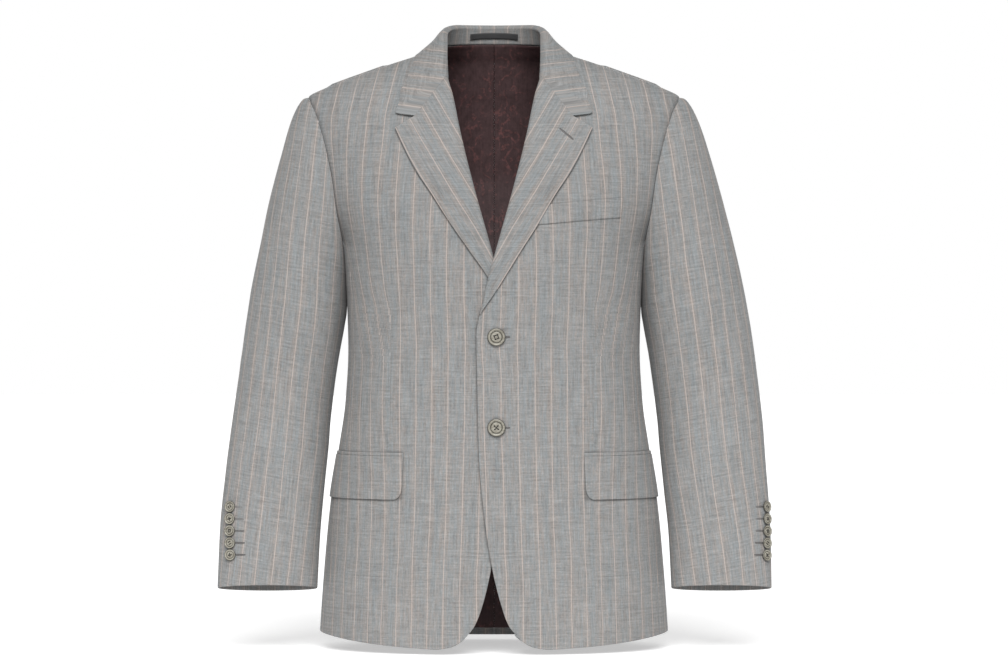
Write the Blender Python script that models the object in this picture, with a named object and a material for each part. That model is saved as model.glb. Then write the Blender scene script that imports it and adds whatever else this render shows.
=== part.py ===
"""Two-button blazer with notched lapels, filled out as when it is worn. Metres, +Z up.

The origin is at the base of the neck, between the shoulders that hold the garment up. +X is the
wearer's left and -Y the front. The body, the sleeves and the collar are smooth forms worked out from
the short tables below, and every cut piece is a closed wall of cloth laid on one of these forms.
Table sizes are in millimetres.
"""
import math

import bmesh
import bpy
from mathutils import Vector

MM = 0.001
UP = Vector((0.0, 0.0, 1.0))
FRONT = -1.0
BACK = 1.0
LEFT = 1.0
RIGHT = -1.0

# cloth and gaps
CLOTH = 1.8 * MM
WELT_CLOTH = 1.2 * MM
LINING_CLOTH = 1.0 * MM
SEAM = 0.3 * MM
LAID_ON = 0.5 * MM
LINING_DEPTH = 2.5 * MM
LINING_RISE = 9.0 * MM

# turned cloth: how far lapels and collar lie above the form, and how they turn over their fold
TURNED_LIFT = 4.4 * MM
LOW_LAPEL_LIFT = 2.5 * MM
ROLL_TURN = 2.6 * MM
TURN_OUT = 2.9 * MM
TURN_RISE = 3.3 * MM
TURN_INSIDE = 2.2 * MM
TURN_LEAD = 3.4 * MM
TURN_COLUMNS = 3
BACK_TURN_EXTRA = 0.9 * MM
FALL_BULGE = 1.5 * MM

# how far the underlying front lies inside the form, and how much more below the lapels
UNDER_SINK = 2.8 * MM
UNDER_LAPEL_SINK = 3.8 * MM

# the body form: its sections are rounder than an ellipse is square by this power
SQUARENESS = 2.5
SLEEVE_HEAD_HEIGHT = -86.0 * MM
HEM_SIDE = -731.5 * MM
HEM_DROP = 15.0 * MM
SHOULDER_TIP = (236.0 * MM, -55.5 * MM)
NECK_POINT = (70.0 * MM, 10.5 * MM)
BACK_NECK = 17.0 * MM
EDGE_LOW = -727.0 * MM
FRONT_ARMHOLE_LEVEL = -243.0 * MM
BACK_ARMHOLE_LEVEL = -225.0 * MM
BACK_NECK_COLUMNS = 3

# the armhole, an oval seen from the side
ARMHOLE_MIDDLE_Y = 4.0 * MM
ARMHOLE_MIDDLE_Z = -162.0 * MM
ARMHOLE_HALF_HEIGHT = 106.5 * MM
ARMHOLE_FRONT_REACH = 62.0 * MM
ARMHOLE_BACK_REACH = 58.0 * MM
ARMHOLE_STEP = 15.0
FRONT_SEAM_AT = 135.0
BACK_SEAM_AT = 240.0
SLEEVE_FRONT_SEAM_AT = 165.0
SLEEVE_BACK_SEAM_AT = -60.0

# where the side seams run on the form, in degrees round from the centre front
FRONT_SEAM_ANGLE = 70.0
BACK_SEAM_ANGLE = 118.0
SEAM_BLEND = 120.0 * MM

# pockets
JET_TOP = -503.0 * MM
JET_BOTTOM = -507.4 * MM
FLAP_BOTTOM = -561.5 * MM
FLAP_FRONT_X = 112.0 * MM
FLAP_REAR_ANGLE = 87.0
FLAP_SLANT = 2.5 * MM
FLAP_CORNER = 15.0 * MM
FLAP_CORNER_DEPTH = 12.0 * MM
FLAP_CORNER_SPREAD = 45.0 * MM
WELT_LOW = ((55.0, -220.3), (157.8, -210.2))
WELT_HIGH = ((64.0, -195.6), (161.0, -185.4))

# buttons
FRONT_BUTTON_RADIUS = 11.3 * MM
FRONT_BUTTON_X = 3.3 * MM
FRONT_BUTTON_HEIGHTS = {"top": -359.3 * MM, "bottom": -471.5 * MM}
CUFF_BUTTON_RADIUS = 7.35 * MM
CUFF_BUTTON_PITCH = 15.1 * MM
CUFF_BUTTON_COUNT = 5
LOWEST_CUFF_BUTTON = 42.0 * MM
CUFF_BUTTON_TURN = 37.0
BUTTON_THICKNESS = 0.3
BUTTON_PROFILE = ((0.0, 0.0), (0.72, 0.0), (1.0, 0.4), (1.0, 0.8), (0.9, 1.0), (0.74, 0.95),
                  (0.62, 0.62), (0.0, 0.62))

# collar stand, above its seam on the neck edge; it runs out this many stations past the shoulder
STAND_INSET = 2.5 * MM
STAND_RISE = 0.7 * MM
STAND_END = 3.4 * MM
STAND_RUNS_OUT = 3
FOLD_STARTS = 3.3 * MM

# hanger loop: collar stations out from the centre back, and shares of the stand's height
LOOP_REACH = 1.35
LOOP_LOW = 0.32
LOOP_TALL = 0.44
LOOP_BOW = 0.1
LOOP_GAP = 0.9 * MM

# grid sizes
BODY_ROWS = 12
FRONT_COLUMNS = 9
BACK_COLUMNS = 8
SLEEVE_ROWS = 15


class Table:
    """Rows of sizes, read between its rows along a smooth line that never overshoots."""

    def __init__(self, columns, rows):
        self.names = columns.split()
        self.keys = [row[0] for row in rows]
        self.columns = {name: [row[i] for row in rows] for i, name in enumerate(self.names)}
        self.slopes = {name: self.find_slopes(values) for name, values in self.columns.items()}

    def find_slopes(self, values):
        steps = [b - a for a, b in zip(self.keys, self.keys[1:])]
        rises = [(b - a) / step for a, b, step in zip(values, values[1:], steps)]
        slopes = [rises[0]]
        for i in range(1, len(rises)):
            if rises[i - 1] * rises[i] <= 0:
                slopes.append(0.0)
                continue
            before = 2 * steps[i] + steps[i - 1]
            after = steps[i] + 2 * steps[i - 1]
            slopes.append((before + after) / (before / rises[i - 1] + after / rises[i]))
        return slopes + [rises[-1]]

    def at(self, name, key):
        keys = self.keys
        key = min(max(key, keys[0]), keys[-1])
        i = next(k for k in range(1, len(keys)) if key <= keys[k]) - 1
        step = keys[i + 1] - keys[i]
        t = (key - keys[i]) / step
        values = self.columns[name]
        slopes = self.slopes[name]
        return ((1 + 2 * t) * (1 - t) ** 2 * values[i] + t * (1 - t) ** 2 * step * slopes[i]
                + t * t * (3 - 2 * t) * values[i + 1] + t * t * (t - 1) * step * slopes[i + 1])

    def size(self, name, key):
        """A size in metres at a height or distance in metres."""
        return self.at(name, key / MM) * MM


# half breadth at the side, and where the middle, front and back lie, by height
BODY = Table("height side middle front back", [
    (-748, 222, 0, -138, 128),
    (-660, 216, 0, -136, 127),
    (-560, 206.5, 0, -133, 121),
    (-500, 197, 0, -131, 114),
    (-440, 188.5, 0, -129, 107),
    (-375, 185, 0, -128, 104),
    (-330, 186, 0, -129, 106),
    (-280, 189, 0, -132, 113),
    (-254, 193, 1, -133, 118),
    (-237, 199, 2, -133, 121),
    (-200, 214, 3, -132, 124),
    (-160, 225, 4, -127, 125),
    (-121, 234, 4, -117, 120),
    (-86, 238, 4, -104, 113),
    (-70, 238, 4, -95, 109),
    (-55.5, 236, 4, -87, 105),
    (-42, 211.5, 4, -77, 100),
    (-27, 172, 4, -64, 95),
    (-14, 135, 4, -50, 90),
    (-2, 98, 4, -34, 85),
    (4.5, 78, 4, -24, 81),
    (10.5, 70, 4, -17, 77.5),
    (17, 62, 4, -10, 74),
    (32, 56, 4, -4, 68),
])

# neck seam of the back, outwards from the centre
BACK_NECK_LINE = Table("across height", [
    (0, 17), (20, 16.8), (40, 15.6), (58, 13.2), (70, 10.5),
])

# front edge and roll line of the overlying and the underlying front, outwards from the centre
FRONT_EDGE = Table("height over under", [
    (-727, 27.5, 31.5),
    (-718, 19.6, 24.5),
    (-690, 9, 13.5),
    (-640, -3, 2),
    (-585, -11.3, -6.3),
    (-511, -18.2, -13.2),
    (-412, -20.7, -15.7),
    (-356, -21.6, -16),
    (-337, -18.5, -14),
    (-317, -13.5, -10.5),
    (-286, -6.5, -6),
    (-264, -0.4, -0.4),
    (-165, 26.9, 26.9),
    (-105, 41.5, 41.5),
    (-56, 51.6, 51.6),
    (-35, 57.5, 57.5),
    (-20, 59.5, 59.5),
    (-8, 62.5, 62.5),
    (4, 67, 67),
    (10.5, 70, 70),
])

# hem of a front from its rounded corner outwards; past the corner it follows the hem all round
FRONT_CORNER = Table("across height", [
    (27.5, -727),
    (36, -736.3),
    (50.5, -743.6),
    (70, -746),
    (90, -745.2),
])

# outer edge of each turned lapel, outwards from the centre
LAPEL_EDGE = Table("height over under", [
    (-316, -5, -3.5),
    (-290, 11.5, 5),
    (-253, 33.7, 30),
    (-221, 54.1, 52),
    (-185, 75, 75),
    (-152, 96.4, 96.6),
    (-124, 111, 111.2),
    (-99.5, 122.3, 122.3),
])
LAPEL_NOTCH = (97.3 * MM, -84.9 * MM)
LAPEL_POINT_HEIGHT = -99.5 * MM
LAPEL_BREAK = {"over": -316.0 * MM, "under": -300.0 * MM}
ROLL_START = -331.0 * MM
GORGE_TOP = -35.0 * MM
LAPEL_ROWS = 11
LAPEL_COLUMNS = 5

# the collar from the centre back to the notch: its seam on the neck edge, its fold and its outer edge
COLLAR = Table("station seam_turn seam_z fold_x fold_y fold_z edge_turn edge_z", [
    (0, 180, 17, 0, 69, 38, 180, -5),
    (1, 162, 16.5, 24, 65, 37.8, 165, -6),
    (2, 140, 15, 42, 51, 36.8, 147, -6.5),
    (3, 118, 13, 54, 28, 32.8, 127, -5.5),
    (4, 90, 10.5, 58.5, 4, 25, 90, -2),
    (5, 90, 4.3, 58.5, -17, 13, 49.2, -11),
    (6, 90, -3, 58.5, -32, 1, 33.7, -26),
    (7, 90, -12, 58.3, -45, -11, 25.9, -44),
    (8, 90, -22, 58, -56, -21.5, 24.4, -62),
    (9, 90, -29, 57.8, -63, -28.8, 25.7, -77),
    (10, 90, -33.5, 57.6, -65.8, -32.2, 19.1, -83.7),
])
COLLAR_STATIONS = (0, 0.6, 1.2, 1.8, 2.4, 3, 3.5, 4, 4.5, 5, 6, 7, 8, 9, 10)
COLLAR_ACROSS = (0, 0.6, 1, 1.5, 2, 2.35, 2.7, 3.1, 3.6, 4.2, 5)
COLLAR_END = 10
COLLAR_RIDGE = 4

# the sleeve from the armhole to the cuff, by its outer and its inner edge seen from the front
SLEEVE = Table("row out_x out_z in_x in_z depth middle pitch", [
    (0, 236.3, -55.2, 190.8, -268.5, 60, 4, 0),
    (1, 242, -57.5, 191, -271.5, 61, 4, 0),
    (2, 249.5, -65.5, 191, -275.5, 62, 4, 0),
    (3, 256.5, -79, 191, -281, 63, 4, 0),
    (4, 264, -100, 191, -288, 64, 4, 0),
    (5, 272, -128, 191, -298, 64.5, 3, 0),
    (6, 281, -160, 191, -311, 64.5, 2, 0),
    (7, 290, -194, 191.5, -327, 64, 1, 0),
    (8, 300, -240, 193, -346, 62, 0, 0),
    (9, 310.5, -290, 196.5, -376, 58.5, 0, 0.01),
    (10, 320, -345, 201.5, -412, 54, -2, 0.03),
    (11, 329, -405, 207, -455, 49, -6, 0.06),
    (12, 337, -465, 212, -503, 43.5, -13, 0.1),
    (13, 343.5, -528, 217, -552, 38, -23, 0.14),
    (14, 348, -598, 221.5, -608, 32, -34, 0.18),
    (15, 350.3, -675, 224.5, -675, 26, -47, 0.2),
])
SLEEVE_BLEND_ROWS = 6.0
SLEEVE_RADIUS = 60.0 * MM
SLEEVE_DRAWN_BACK = 0.48 * MM

# back seam of the sleeve, in degrees round from its outer edge towards the front
SLEEVE_BACK_SEAM = Table("row angle", [
    (0, SLEEVE_BACK_SEAM_AT),
    (5, -55),
    (9, -35),
    (12, -10),
    (15, 8),
])


def clamp(value, low, high):
    return min(max(value, low), high)


def ease(value):
    """Smooth step from 0 to 1."""
    value = clamp(value, 0.0, 1.0)
    return value * value * (3 - 2 * value)


def body(name, z):
    return BODY.size(name, z)


def hem_height(angle):
    return HEM_SIDE - HEM_DROP * math.cos(math.radians(angle)) ** 2


def skin(x, z, face):
    """Point of the body form seen at (x, z) from the front, or from the back."""
    middle = body("middle", z)
    depth = abs(body("front" if face == FRONT else "back", z) - middle)
    across = min(abs(x) / body("side", z), 1.0)
    return Vector((x, middle + face * depth * math.sqrt(1 - across ** SQUARENESS), z))


def skin_round(angle, z):
    """Point of the body form at an angle in degrees round from the centre front."""
    face = FRONT if angle < 90 else BACK
    turn = math.radians(angle)
    middle = body("middle", z)
    depth = abs(body("front" if face == FRONT else "back", z) - middle)
    x = body("side", z) * math.sin(turn) ** (2 / SQUARENESS)
    return Vector((x, middle + face * depth * abs(math.cos(turn)), z))


def form_level(point, z):
    """Below 0 inside the body form's section at height z, above 0 outside it."""
    middle = body("middle", z)
    reach = point.y - middle
    depth = abs(body("front" if reach < 0 else "back", z) - middle)
    return (abs(point.x) / body("side", z)) ** SQUARENESS + (reach / depth) ** 2 - 1


def form_slope(point):
    """Gradient of form_level at a point."""
    step = 0.5 * MM
    middle = body("middle", point.z)
    reach = point.y - middle
    depth = abs(body("front" if reach < 0 else "back", point.z) - middle)
    side = body("side", point.z)
    across = SQUARENESS * (abs(point.x) / side) ** (SQUARENESS - 1) / side
    rise = (form_level(point, point.z + step) - form_level(point, point.z - step)) / (2 * step)
    return Vector((math.copysign(across, point.x), 2 * reach / depth ** 2, rise))


def skin_normal(point):
    return form_slope(point).normalized()


def lifted_clear(point, lift):
    """The point, moved out where it would come nearer to the body form than the lift."""
    for _ in range(3):
        slope = form_slope(point)
        distance = form_level(point, point.z) / slope.length
        if distance < lift:
            point = point + slope.normalized() * (lift - distance)
    return point


def armhole_yz(turn):
    """Side view of the armhole, by degrees round from the shoulder tip towards the front."""
    angle = math.radians(turn)
    reach = ARMHOLE_FRONT_REACH if math.sin(angle) > 0 else ARMHOLE_BACK_REACH
    return (ARMHOLE_MIDDLE_Y - reach * math.sin(angle),
            ARMHOLE_MIDDLE_Z + ARMHOLE_HALF_HEIGHT * math.cos(angle))


def armhole(turn):
    y, z = armhole_yz(turn)
    middle = body("middle", z)
    depth = abs(body("front" if y < middle else "back", z) - middle)
    share = 1 - min(abs(y - middle) / depth, 1.0) ** 2
    return Vector((body("side", z) * share ** (1 / SQUARENESS), y, z))


def armhole_angle(turn):
    """Degrees round the body form at which the armhole point lies."""
    point = armhole(turn)
    middle = body("middle", point.z)
    depth = abs(body("front" if point.y < middle else "back", point.z) - middle)
    return math.degrees(math.acos(clamp((middle - point.y) / depth, -1.0, 1.0)))


def seam_angle(meets, low_angle, z):
    """Degrees round at which a side seam runs; it meets the armhole at the turn given."""
    below = (armhole_yz(meets)[1] - z) / SEAM_BLEND
    top_angle = armhole_angle(meets)
    return top_angle + (low_angle - top_angle) * ease(below)


def seam_point(meets, low_angle, share, gap, rise=0.0):
    """Place (angle, height) on a side seam, from the hem at 0 to the armhole at 1."""
    low = hem_height(low_angle) + rise
    z = low + (armhole_yz(meets)[1] - low) * share
    angle = seam_angle(meets, low_angle, z)
    return angle + math.degrees(gap / body("side", z)), z


def breadth(z):
    return body("side", min(z, SLEEVE_HEAD_HEIGHT))


def lean(x, z):
    """Turn that spreads the front view evenly round the side."""
    return math.asin(clamp(x / breadth(z), -1.0, 1.0))


def as_lean(point):
    return Vector((lean(point.x, point.z), point.z))


def patch(edges, u, v):
    """A pair of numbers inside four edge lines (left and right by v, bottom and top by u)."""
    left, right, bottom, top = edges
    sides = left(v) * (1 - u) + right(v) * u
    ends = bottom(u) * (1 - v) + top(u) * v
    corners = ((left(0) * (1 - u) + right(0) * u) * (1 - v)
               + (left(1) * (1 - u) + right(1) * u) * v)
    return sides + ends - corners


def on_form(place, face):
    """Skin point for a pair (lean, height)."""
    z = place[1]
    point = skin(breadth(z) * math.sin(place[0]), z, face)
    middle = body("middle", z)
    point.y = middle + face * max(abs(point.y - middle), SEAM / 2)
    return point


def upper_share(turn, meets):
    """How far down from the shoulder the armhole has come at a turn, 0 at the tip, 1 at the seam."""
    return (1 - math.cos(math.radians(turn))) / (1 - math.cos(math.radians(meets)))


def row_share(row):
    """Share of the side seam below a row; the rows lie closer near the hem."""
    share = row / BODY_ROWS
    return share * (0.6 + 0.4 * share)


def rows_of(lower_rows, meets):
    """Rows of a front or back: lower rows up the side seam, then one for each armhole step."""
    return lower_rows + round(meets / ARMHOLE_STEP)


def side_edge(row, meets, low_angle, gap, face):
    """Side edge of a front or back at a row, as (lean, height)."""
    if row <= BODY_ROWS:
        angle, z = seam_point(meets, low_angle, row_share(row), gap)
        point = skin_round(angle, z)
    else:
        turn = meets - (row - BODY_ROWS) * ARMHOLE_STEP
        point = armhole(turn * -face)
    return as_lean(point)


def sink_of_under_front(x, z):
    """How far the underlying front lies inside the form, to pass below the overlying one."""
    lapels = ease((z / MM + 420) / 90) * ease((-215 - z / MM) / 40)
    return (UNDER_SINK + UNDER_LAPEL_SINK * lapels) * ease((70 - x / MM) / 50)


def front_panel(over):
    """Place function of a front, on the +X side; rows run from the hem to the shoulder seam."""
    side = "over" if over else "under"
    rows = rows_of(BODY_ROWS, FRONT_SEAM_AT)

    def left(v):
        row = v * rows
        if row <= BODY_ROWS:
            z = EDGE_LOW + (FRONT_ARMHOLE_LEVEL - EDGE_LOW) * row_share(row)
        else:
            turn = FRONT_SEAM_AT - (row - BODY_ROWS) * ARMHOLE_STEP
            drop = (NECK_POINT[1] - FRONT_ARMHOLE_LEVEL) * upper_share(turn, FRONT_SEAM_AT)
            z = NECK_POINT[1] - drop
        return Vector((lean(front_edge(side, z), z), z))

    def right(v):
        return side_edge(v * rows, FRONT_SEAM_AT, FRONT_SEAM_ANGLE, -SEAM / 2, FRONT)

    start = left(0)
    end = right(0)

    def bottom(u):
        turn = start[0] + (end[0] - start[0]) * u
        x = body("side", HEM_SIDE) * math.sin(turn)
        across = min(x / body("side", HEM_SIDE), 1.0) ** (SQUARENESS / 2)
        z = hem_height(math.degrees(math.asin(across)))
        from_edge = x - FRONT_EDGE.size(side, EDGE_LOW)
        corner = FRONT_CORNER.size("height", FRONT_EDGE.size("over", EDGE_LOW) + from_edge)
        z += (corner - z) * ease((95 * MM - x) / (30 * MM))
        return Vector((turn + (start[0] - turn) * (u == 0), z + (end[1] - z) * (u == 1)))

    def top(u):
        x = NECK_POINT[0] + (SHOULDER_TIP[0] - NECK_POINT[0]) * u
        return Vector((lean(x, 0.0), shoulder_height(x)))

    def place(u, v):
        spot = patch((left, right, bottom, top), u, v)
        point = on_form(spot, FRONT)
        normal = skin_normal(point)
        if not over:
            point = point - normal * sink_of_under_front(point.x, point.z)
        return point, normal

    return place, rows


def shoulder_height(x):
    """Height of the shoulder seam at a distance from the centre."""
    low, high = SHOULDER_TIP[1], NECK_POINT[1]
    for _ in range(40):
        middle = (low + high) / 2
        if body("side", middle) > x:
            low = middle
        else:
            high = middle
    return (low + high) / 2


def back_panel(inset, rise):
    """Place function of a back on the +X side, sunk by the inset, its hem raised by the rise."""
    meets = 360.0 - BACK_SEAM_AT
    rows = rows_of(BODY_ROWS, meets)
    centre = SEAM / 2
    neck_share = BACK_NECK_COLUMNS / BACK_COLUMNS

    def left(v):
        row = v * rows
        if row <= BODY_ROWS:
            low = hem_height(180) + rise
            z = low + (BACK_ARMHOLE_LEVEL - low) * row_share(row)
        else:
            turn = meets - (row - BODY_ROWS) * ARMHOLE_STEP
            z = BACK_NECK - (BACK_NECK - BACK_ARMHOLE_LEVEL) * upper_share(turn, meets)
        return Vector((lean(centre, z), z))

    def right(v):
        row = v * rows
        if row <= BODY_ROWS:
            angle, z = seam_point(BACK_SEAM_AT, BACK_SEAM_ANGLE, row_share(row), SEAM / 2, rise)
            point = skin_round(angle, z)
        else:
            point = armhole(BACK_SEAM_AT + (row - BODY_ROWS) * ARMHOLE_STEP)
        return as_lean(point)

    end = right(0)

    def bottom(u):
        turn = lean(centre, 0.0) + (end[0] - lean(centre, 0.0)) * u
        x = body("side", HEM_SIDE) * math.sin(turn)
        across = min(x / body("side", HEM_SIDE), 1.0) ** (SQUARENESS / 2)
        z = hem_height(math.degrees(math.asin(across))) + rise
        return Vector((turn, z + (end[1] - z) * (u == 1)))

    def top(u):
        if u <= neck_share:
            x = centre + (NECK_POINT[0] - centre) * u / neck_share
            z = BACK_NECK_LINE.size("height", x)
        else:
            share = (u - neck_share) / (1 - neck_share)
            x = NECK_POINT[0] + (SHOULDER_TIP[0] - NECK_POINT[0]) * share
            z = shoulder_height(x)
        return Vector((lean(x, 0.0), z))

    def place(u, v):
        spot = patch((left, right, bottom, top), u, v)
        point = on_form(spot, BACK)
        normal = skin_normal(point)
        return point - normal * inset, normal

    return place, rows


def side_panel():
    """Place function of a side body on the +X side, from its front seam to its back seam."""
    def left(v):
        return Vector(seam_point(FRONT_SEAM_AT, FRONT_SEAM_ANGLE, row_share(v * BODY_ROWS), SEAM / 2))

    def right(v):
        return Vector(seam_point(BACK_SEAM_AT, BACK_SEAM_ANGLE, row_share(v * BODY_ROWS), -SEAM / 2))

    def bottom(u):
        angle = left(0)[0] + (right(0)[0] - left(0)[0]) * u
        return Vector((angle, hem_height(angle)))

    def top(u):
        turn = FRONT_SEAM_AT + (BACK_SEAM_AT - FRONT_SEAM_AT) * u
        return Vector((armhole_angle(turn), armhole_yz(turn)[1]))

    def place(u, v):
        spot = patch((left, right, bottom, top), u, v)
        point = skin_round(spot[0], spot[1])
        return point, skin_normal(point)

    return place


def by_steps(place, step):
    """Gives a place function its normal from small steps along the surface."""
    def placed(u, v):
        along = place(min(u + step, 1.0), v) - place(max(u - step, 0.0), v)
        up = place(u, min(v + step, 1.0)) - place(u, max(v - step, 0.0))
        return place(u, v), along.cross(up).normalized()
    return placed


def sleeve_ring(turn, row):
    """Point of the plain sleeve tube at a turn from its outer edge towards the front."""
    outer = Vector((SLEEVE.at("out_x", row), 0, SLEEVE.at("out_z", row))) * MM
    inner = Vector((SLEEVE.at("in_x", row), 0, SLEEVE.at("in_z", row))) * MM
    depth = SLEEVE.at("depth", row) * MM
    forward = -depth * math.sin(math.radians(turn))
    centre = (outer + inner) / 2
    point = centre + (outer - inner) / 2 * math.cos(math.radians(turn))
    point.y = SLEEVE.at("middle", row) * MM + forward
    point.z -= SLEEVE.at("pitch", row) * forward
    return point


def sleeve_point(turn, row):
    """The sleeve tube, led from the armhole into its plain rings."""
    lead = 1 - ease(row / SLEEVE_BLEND_ROWS)
    point = sleeve_ring(turn, row)
    if lead > 0:
        point = point + (armhole(turn) - sleeve_ring(turn, 0)) * lead
    return point


def sleeve_start(turn, row):
    """The sleeve tube with its first ring drawn back from the armhole seam by the seam gap."""
    point = sleeve_point(turn, row)
    if row < 1:
        ahead = (sleeve_point(turn, 1) - sleeve_point(turn, 0)).normalized()
        away = Vector((1.0, 0.0, 0.0)) * ease((turn_from_tip(turn) - 60) / 80)
        point = point + (ahead + away).normalized() * SLEEVE_DRAWN_BACK * (1 - row)
    return point


def turn_from_tip(turn):
    turn = turn % 360
    return min(turn, 360 - turn)


def sleeve_piece(top):
    """Place function of a top or under sleeve; rows run down from the armhole to the cuff."""
    def place(u, v):
        row = v * SLEEVE_ROWS
        back = SLEEVE_BACK_SEAM.at("angle", row)
        gap = math.degrees(SEAM / 2 / SLEEVE_RADIUS)
        if top:
            start, end = back + gap, SLEEVE_FRONT_SEAM_AT - gap
        else:
            start, end = SLEEVE_FRONT_SEAM_AT + gap, back + 360 - gap
        return sleeve_start(start + (end - start) * u, row)

    return by_steps(place, 0.004)


def collar_guides(station):
    """Seam, fold and outer edge of the collar on the +X side at a station from the centre back."""
    z = COLLAR.at("seam_z", station) * MM
    if station <= COLLAR_RIDGE:
        for _ in range(12):
            seam = skin_round(COLLAR.at("seam_turn", station), z)
            z = (z + BACK_NECK_LINE.size("height", seam.x)) / 2
    else:
        seam = skin(front_edge("over", z), z, FRONT)
    fold = Vector([COLLAR.at(name, station) * MM for name in ("fold_x", "fold_y", "fold_z")])
    edge = skin_round(COLLAR.at("edge_turn", station), COLLAR.at("edge_z", station) * MM)
    return seam, fold, edge


def collar_across(station):
    """Points across the collar at a station: up the stand, over the fold and down the fall."""
    seam, fold, edge = collar_guides(station)
    rest = ease((station - COLLAR_RIDGE) / (COLLAR_END - COLLAR_RIDGE))
    edge_normal = skin_normal(edge)
    out = edge - fold
    out.z *= 0.3 * rest
    out.normalize()
    inwards = fold - seam
    inwards.z = 0
    inwards = inwards.normalized() if inwards.length > 0.2 * MM else -out
    base = seam + inwards * STAND_INSET + UP * STAND_RISE
    rise = UP.lerp(edge_normal, rest).normalized()
    base = base.lerp(fold - rise * STAND_END, ease((station - COLLAR_RIDGE) / STAND_RUNS_OUT))
    under_fold = fold + (base - fold) * min(0.5, FOLD_STARTS / (base - fold).length)
    extra = BACK_TURN_EXTRA * (1 - rest)
    turn_top = fold + out * (TURN_OUT + extra) + rise * (TURN_RISE + extra * 2 / 3)
    outer = edge + edge_normal * TURNED_LIFT
    middle = (turn_top + outer) / 2 + (rise + edge_normal).normalized() * FALL_BULGE
    return base, under_fold, fold, turn_top, middle, outer


def through(points, t):
    """Smooth line through a few points, at 0 on the first, 1 on the second and so on."""
    last = len(points) - 1
    i = min(int(clamp(t, 0, last)), last - 1)
    s = clamp(t, 0, last) - i
    a, b = points[i], points[i + 1]
    leave = bend(points[i - 1], a, b) * (b - a).length if i else b - a
    arrive = bend(a, b, points[i + 2]) * (b - a).length if i + 2 <= last else b - a
    return (a * ((1 + 2 * s) * (1 - s) ** 2) + leave * (s * (1 - s) ** 2)
            + b * (s * s * (3 - 2 * s)) + arrive * (s * s * (s - 1)))


def bend(before, point, after):
    """Direction of a smooth line at a point, weighed by the length of the stretches beside it."""
    back = point - before
    ahead = after - point
    return (ahead / ahead.length * back.length + back / back.length * ahead.length) / (
        back.length + ahead.length)


def collar_point(station, across):
    """Visible face of the collar: stations run to the wearer's left, across goes from 0 at the
    neck seam over the fold at 2 and 3 to the outer edge at 5."""
    point = through(collar_across(abs(station)), across)
    if across > 3:
        point = lifted_clear(point, TURNED_LIFT * ease((across - 3) / 0.8))
    point.x = math.copysign(point.x, station)
    return point


def collar_place(u, v):
    stations = [-station for station in COLLAR_STATIONS[:0:-1]] + list(COLLAR_STATIONS)
    return collar_point(between(stations, u), between(COLLAR_ACROSS, v))


def between(stops, share):
    """Value at a share of the way along a list of stops."""
    at = clamp(share, 0.0, 1.0) * (len(stops) - 1)
    i = min(int(at), len(stops) - 2)
    return stops[i] + (stops[i + 1] - stops[i]) * (at - i)


def lapel_piece(over):
    """Place function of a turned lapel on the +X side, rows up from the break to the gorge."""
    side = "over" if over else "under"

    low = LAPEL_BREAK[side]

    def roll(v):
        z = low + (GORGE_TOP - SEAM - low) * v
        return Vector((front_edge(side, z), z))

    def outer(v):
        z = low + (LAPEL_POINT_HEIGHT - low) * v
        return Vector((LAPEL_EDGE.size(side, z), z))

    def bottom(u):
        return roll(0).lerp(outer(0), u)

    def top(u):
        notch = Vector(LAPEL_NOTCH)
        share = (LAPEL_COLUMNS - 2) / LAPEL_COLUMNS
        if u <= share:
            return roll(1).lerp(notch, u / share)
        return notch.lerp(outer(1), (u - share) / (1 - share))

    def leaf(u, v):
        spot = patch((roll, outer, bottom, top), u, v)
        point = skin(spot[0], spot[1], FRONT)
        normal = skin_normal(point)
        sink = 0.0 if over else sink_of_under_front(point.x, point.z)
        return point - normal * sink, normal

    columns = LAPEL_COLUMNS + TURN_COLUMNS

    def place(u, v):
        column = u * columns
        root, normal = leaf(0, v)
        up = leaf(0, min(v + 0.02, 1.0))[0] - leaf(0, max(v - 0.02, 0.0))[0]
        out = up.cross(normal).normalized()
        along = (leaf(0.2, v)[0] - root).normalized()
        width = (leaf(1, v)[0] - root).length
        lead = min(TURN_LEAD, width / 3)
        edge = root - out * TURN_OUT
        height = root + normal * TURN_RISE
        if column <= TURN_COLUMNS:
            return through((edge - normal * TURN_INSIDE, edge, height, height + along * lead), column)
        share = (column - TURN_COLUMNS) / LAPEL_COLUMNS
        start = lead / width
        point, normal = leaf(start + (1 - start) * share, v)
        lift = LOW_LAPEL_LIFT + (TURNED_LIFT - LOW_LAPEL_LIFT) * ease((point.z / MM + 270) / 100)
        raised = TURN_RISE + (lift - TURN_RISE) * ease(share * 2)
        return point + normal * raised

    return by_steps(place, 0.004), columns


def front_edge(side, z):
    """The front edge, drawn back along the roll line by the cloth that turns round it."""
    turned = ease((z - ROLL_START) / (30 * MM)) * ease((GORGE_TOP + 40 * MM - z) / (40 * MM))
    return FRONT_EDGE.size(side, z) + ROLL_TURN * turned


def wall(name, place, columns, rows, thickness, finish, side=LEFT):
    """Closed wall of cloth: a grid put on its outer face, and its copy one thickness inside."""
    bm = bmesh.new()
    bmesh.ops.create_grid(bm, x_segments=columns, y_segments=rows, size=0.5)
    outer = list(bm.verts)
    grown = bmesh.ops.extrude_face_region(bm, geom=bm.faces[:], use_keep_orig=True)
    inner = [item for item in grown["geom"] if isinstance(item, bmesh.types.BMVert)]
    for verts, depth in ((outer, 0.0), (inner, thickness)):
        for vert in verts:
            u = round((vert.co.x + 0.5) * columns) / columns
            v = round((vert.co.y + 0.5) * rows) / rows
            point, normal = place(u, v)
            point = point - normal * depth
            vert.co = (point.x * side, point.y, point.z)
    return add(name, bm, finish)


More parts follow.
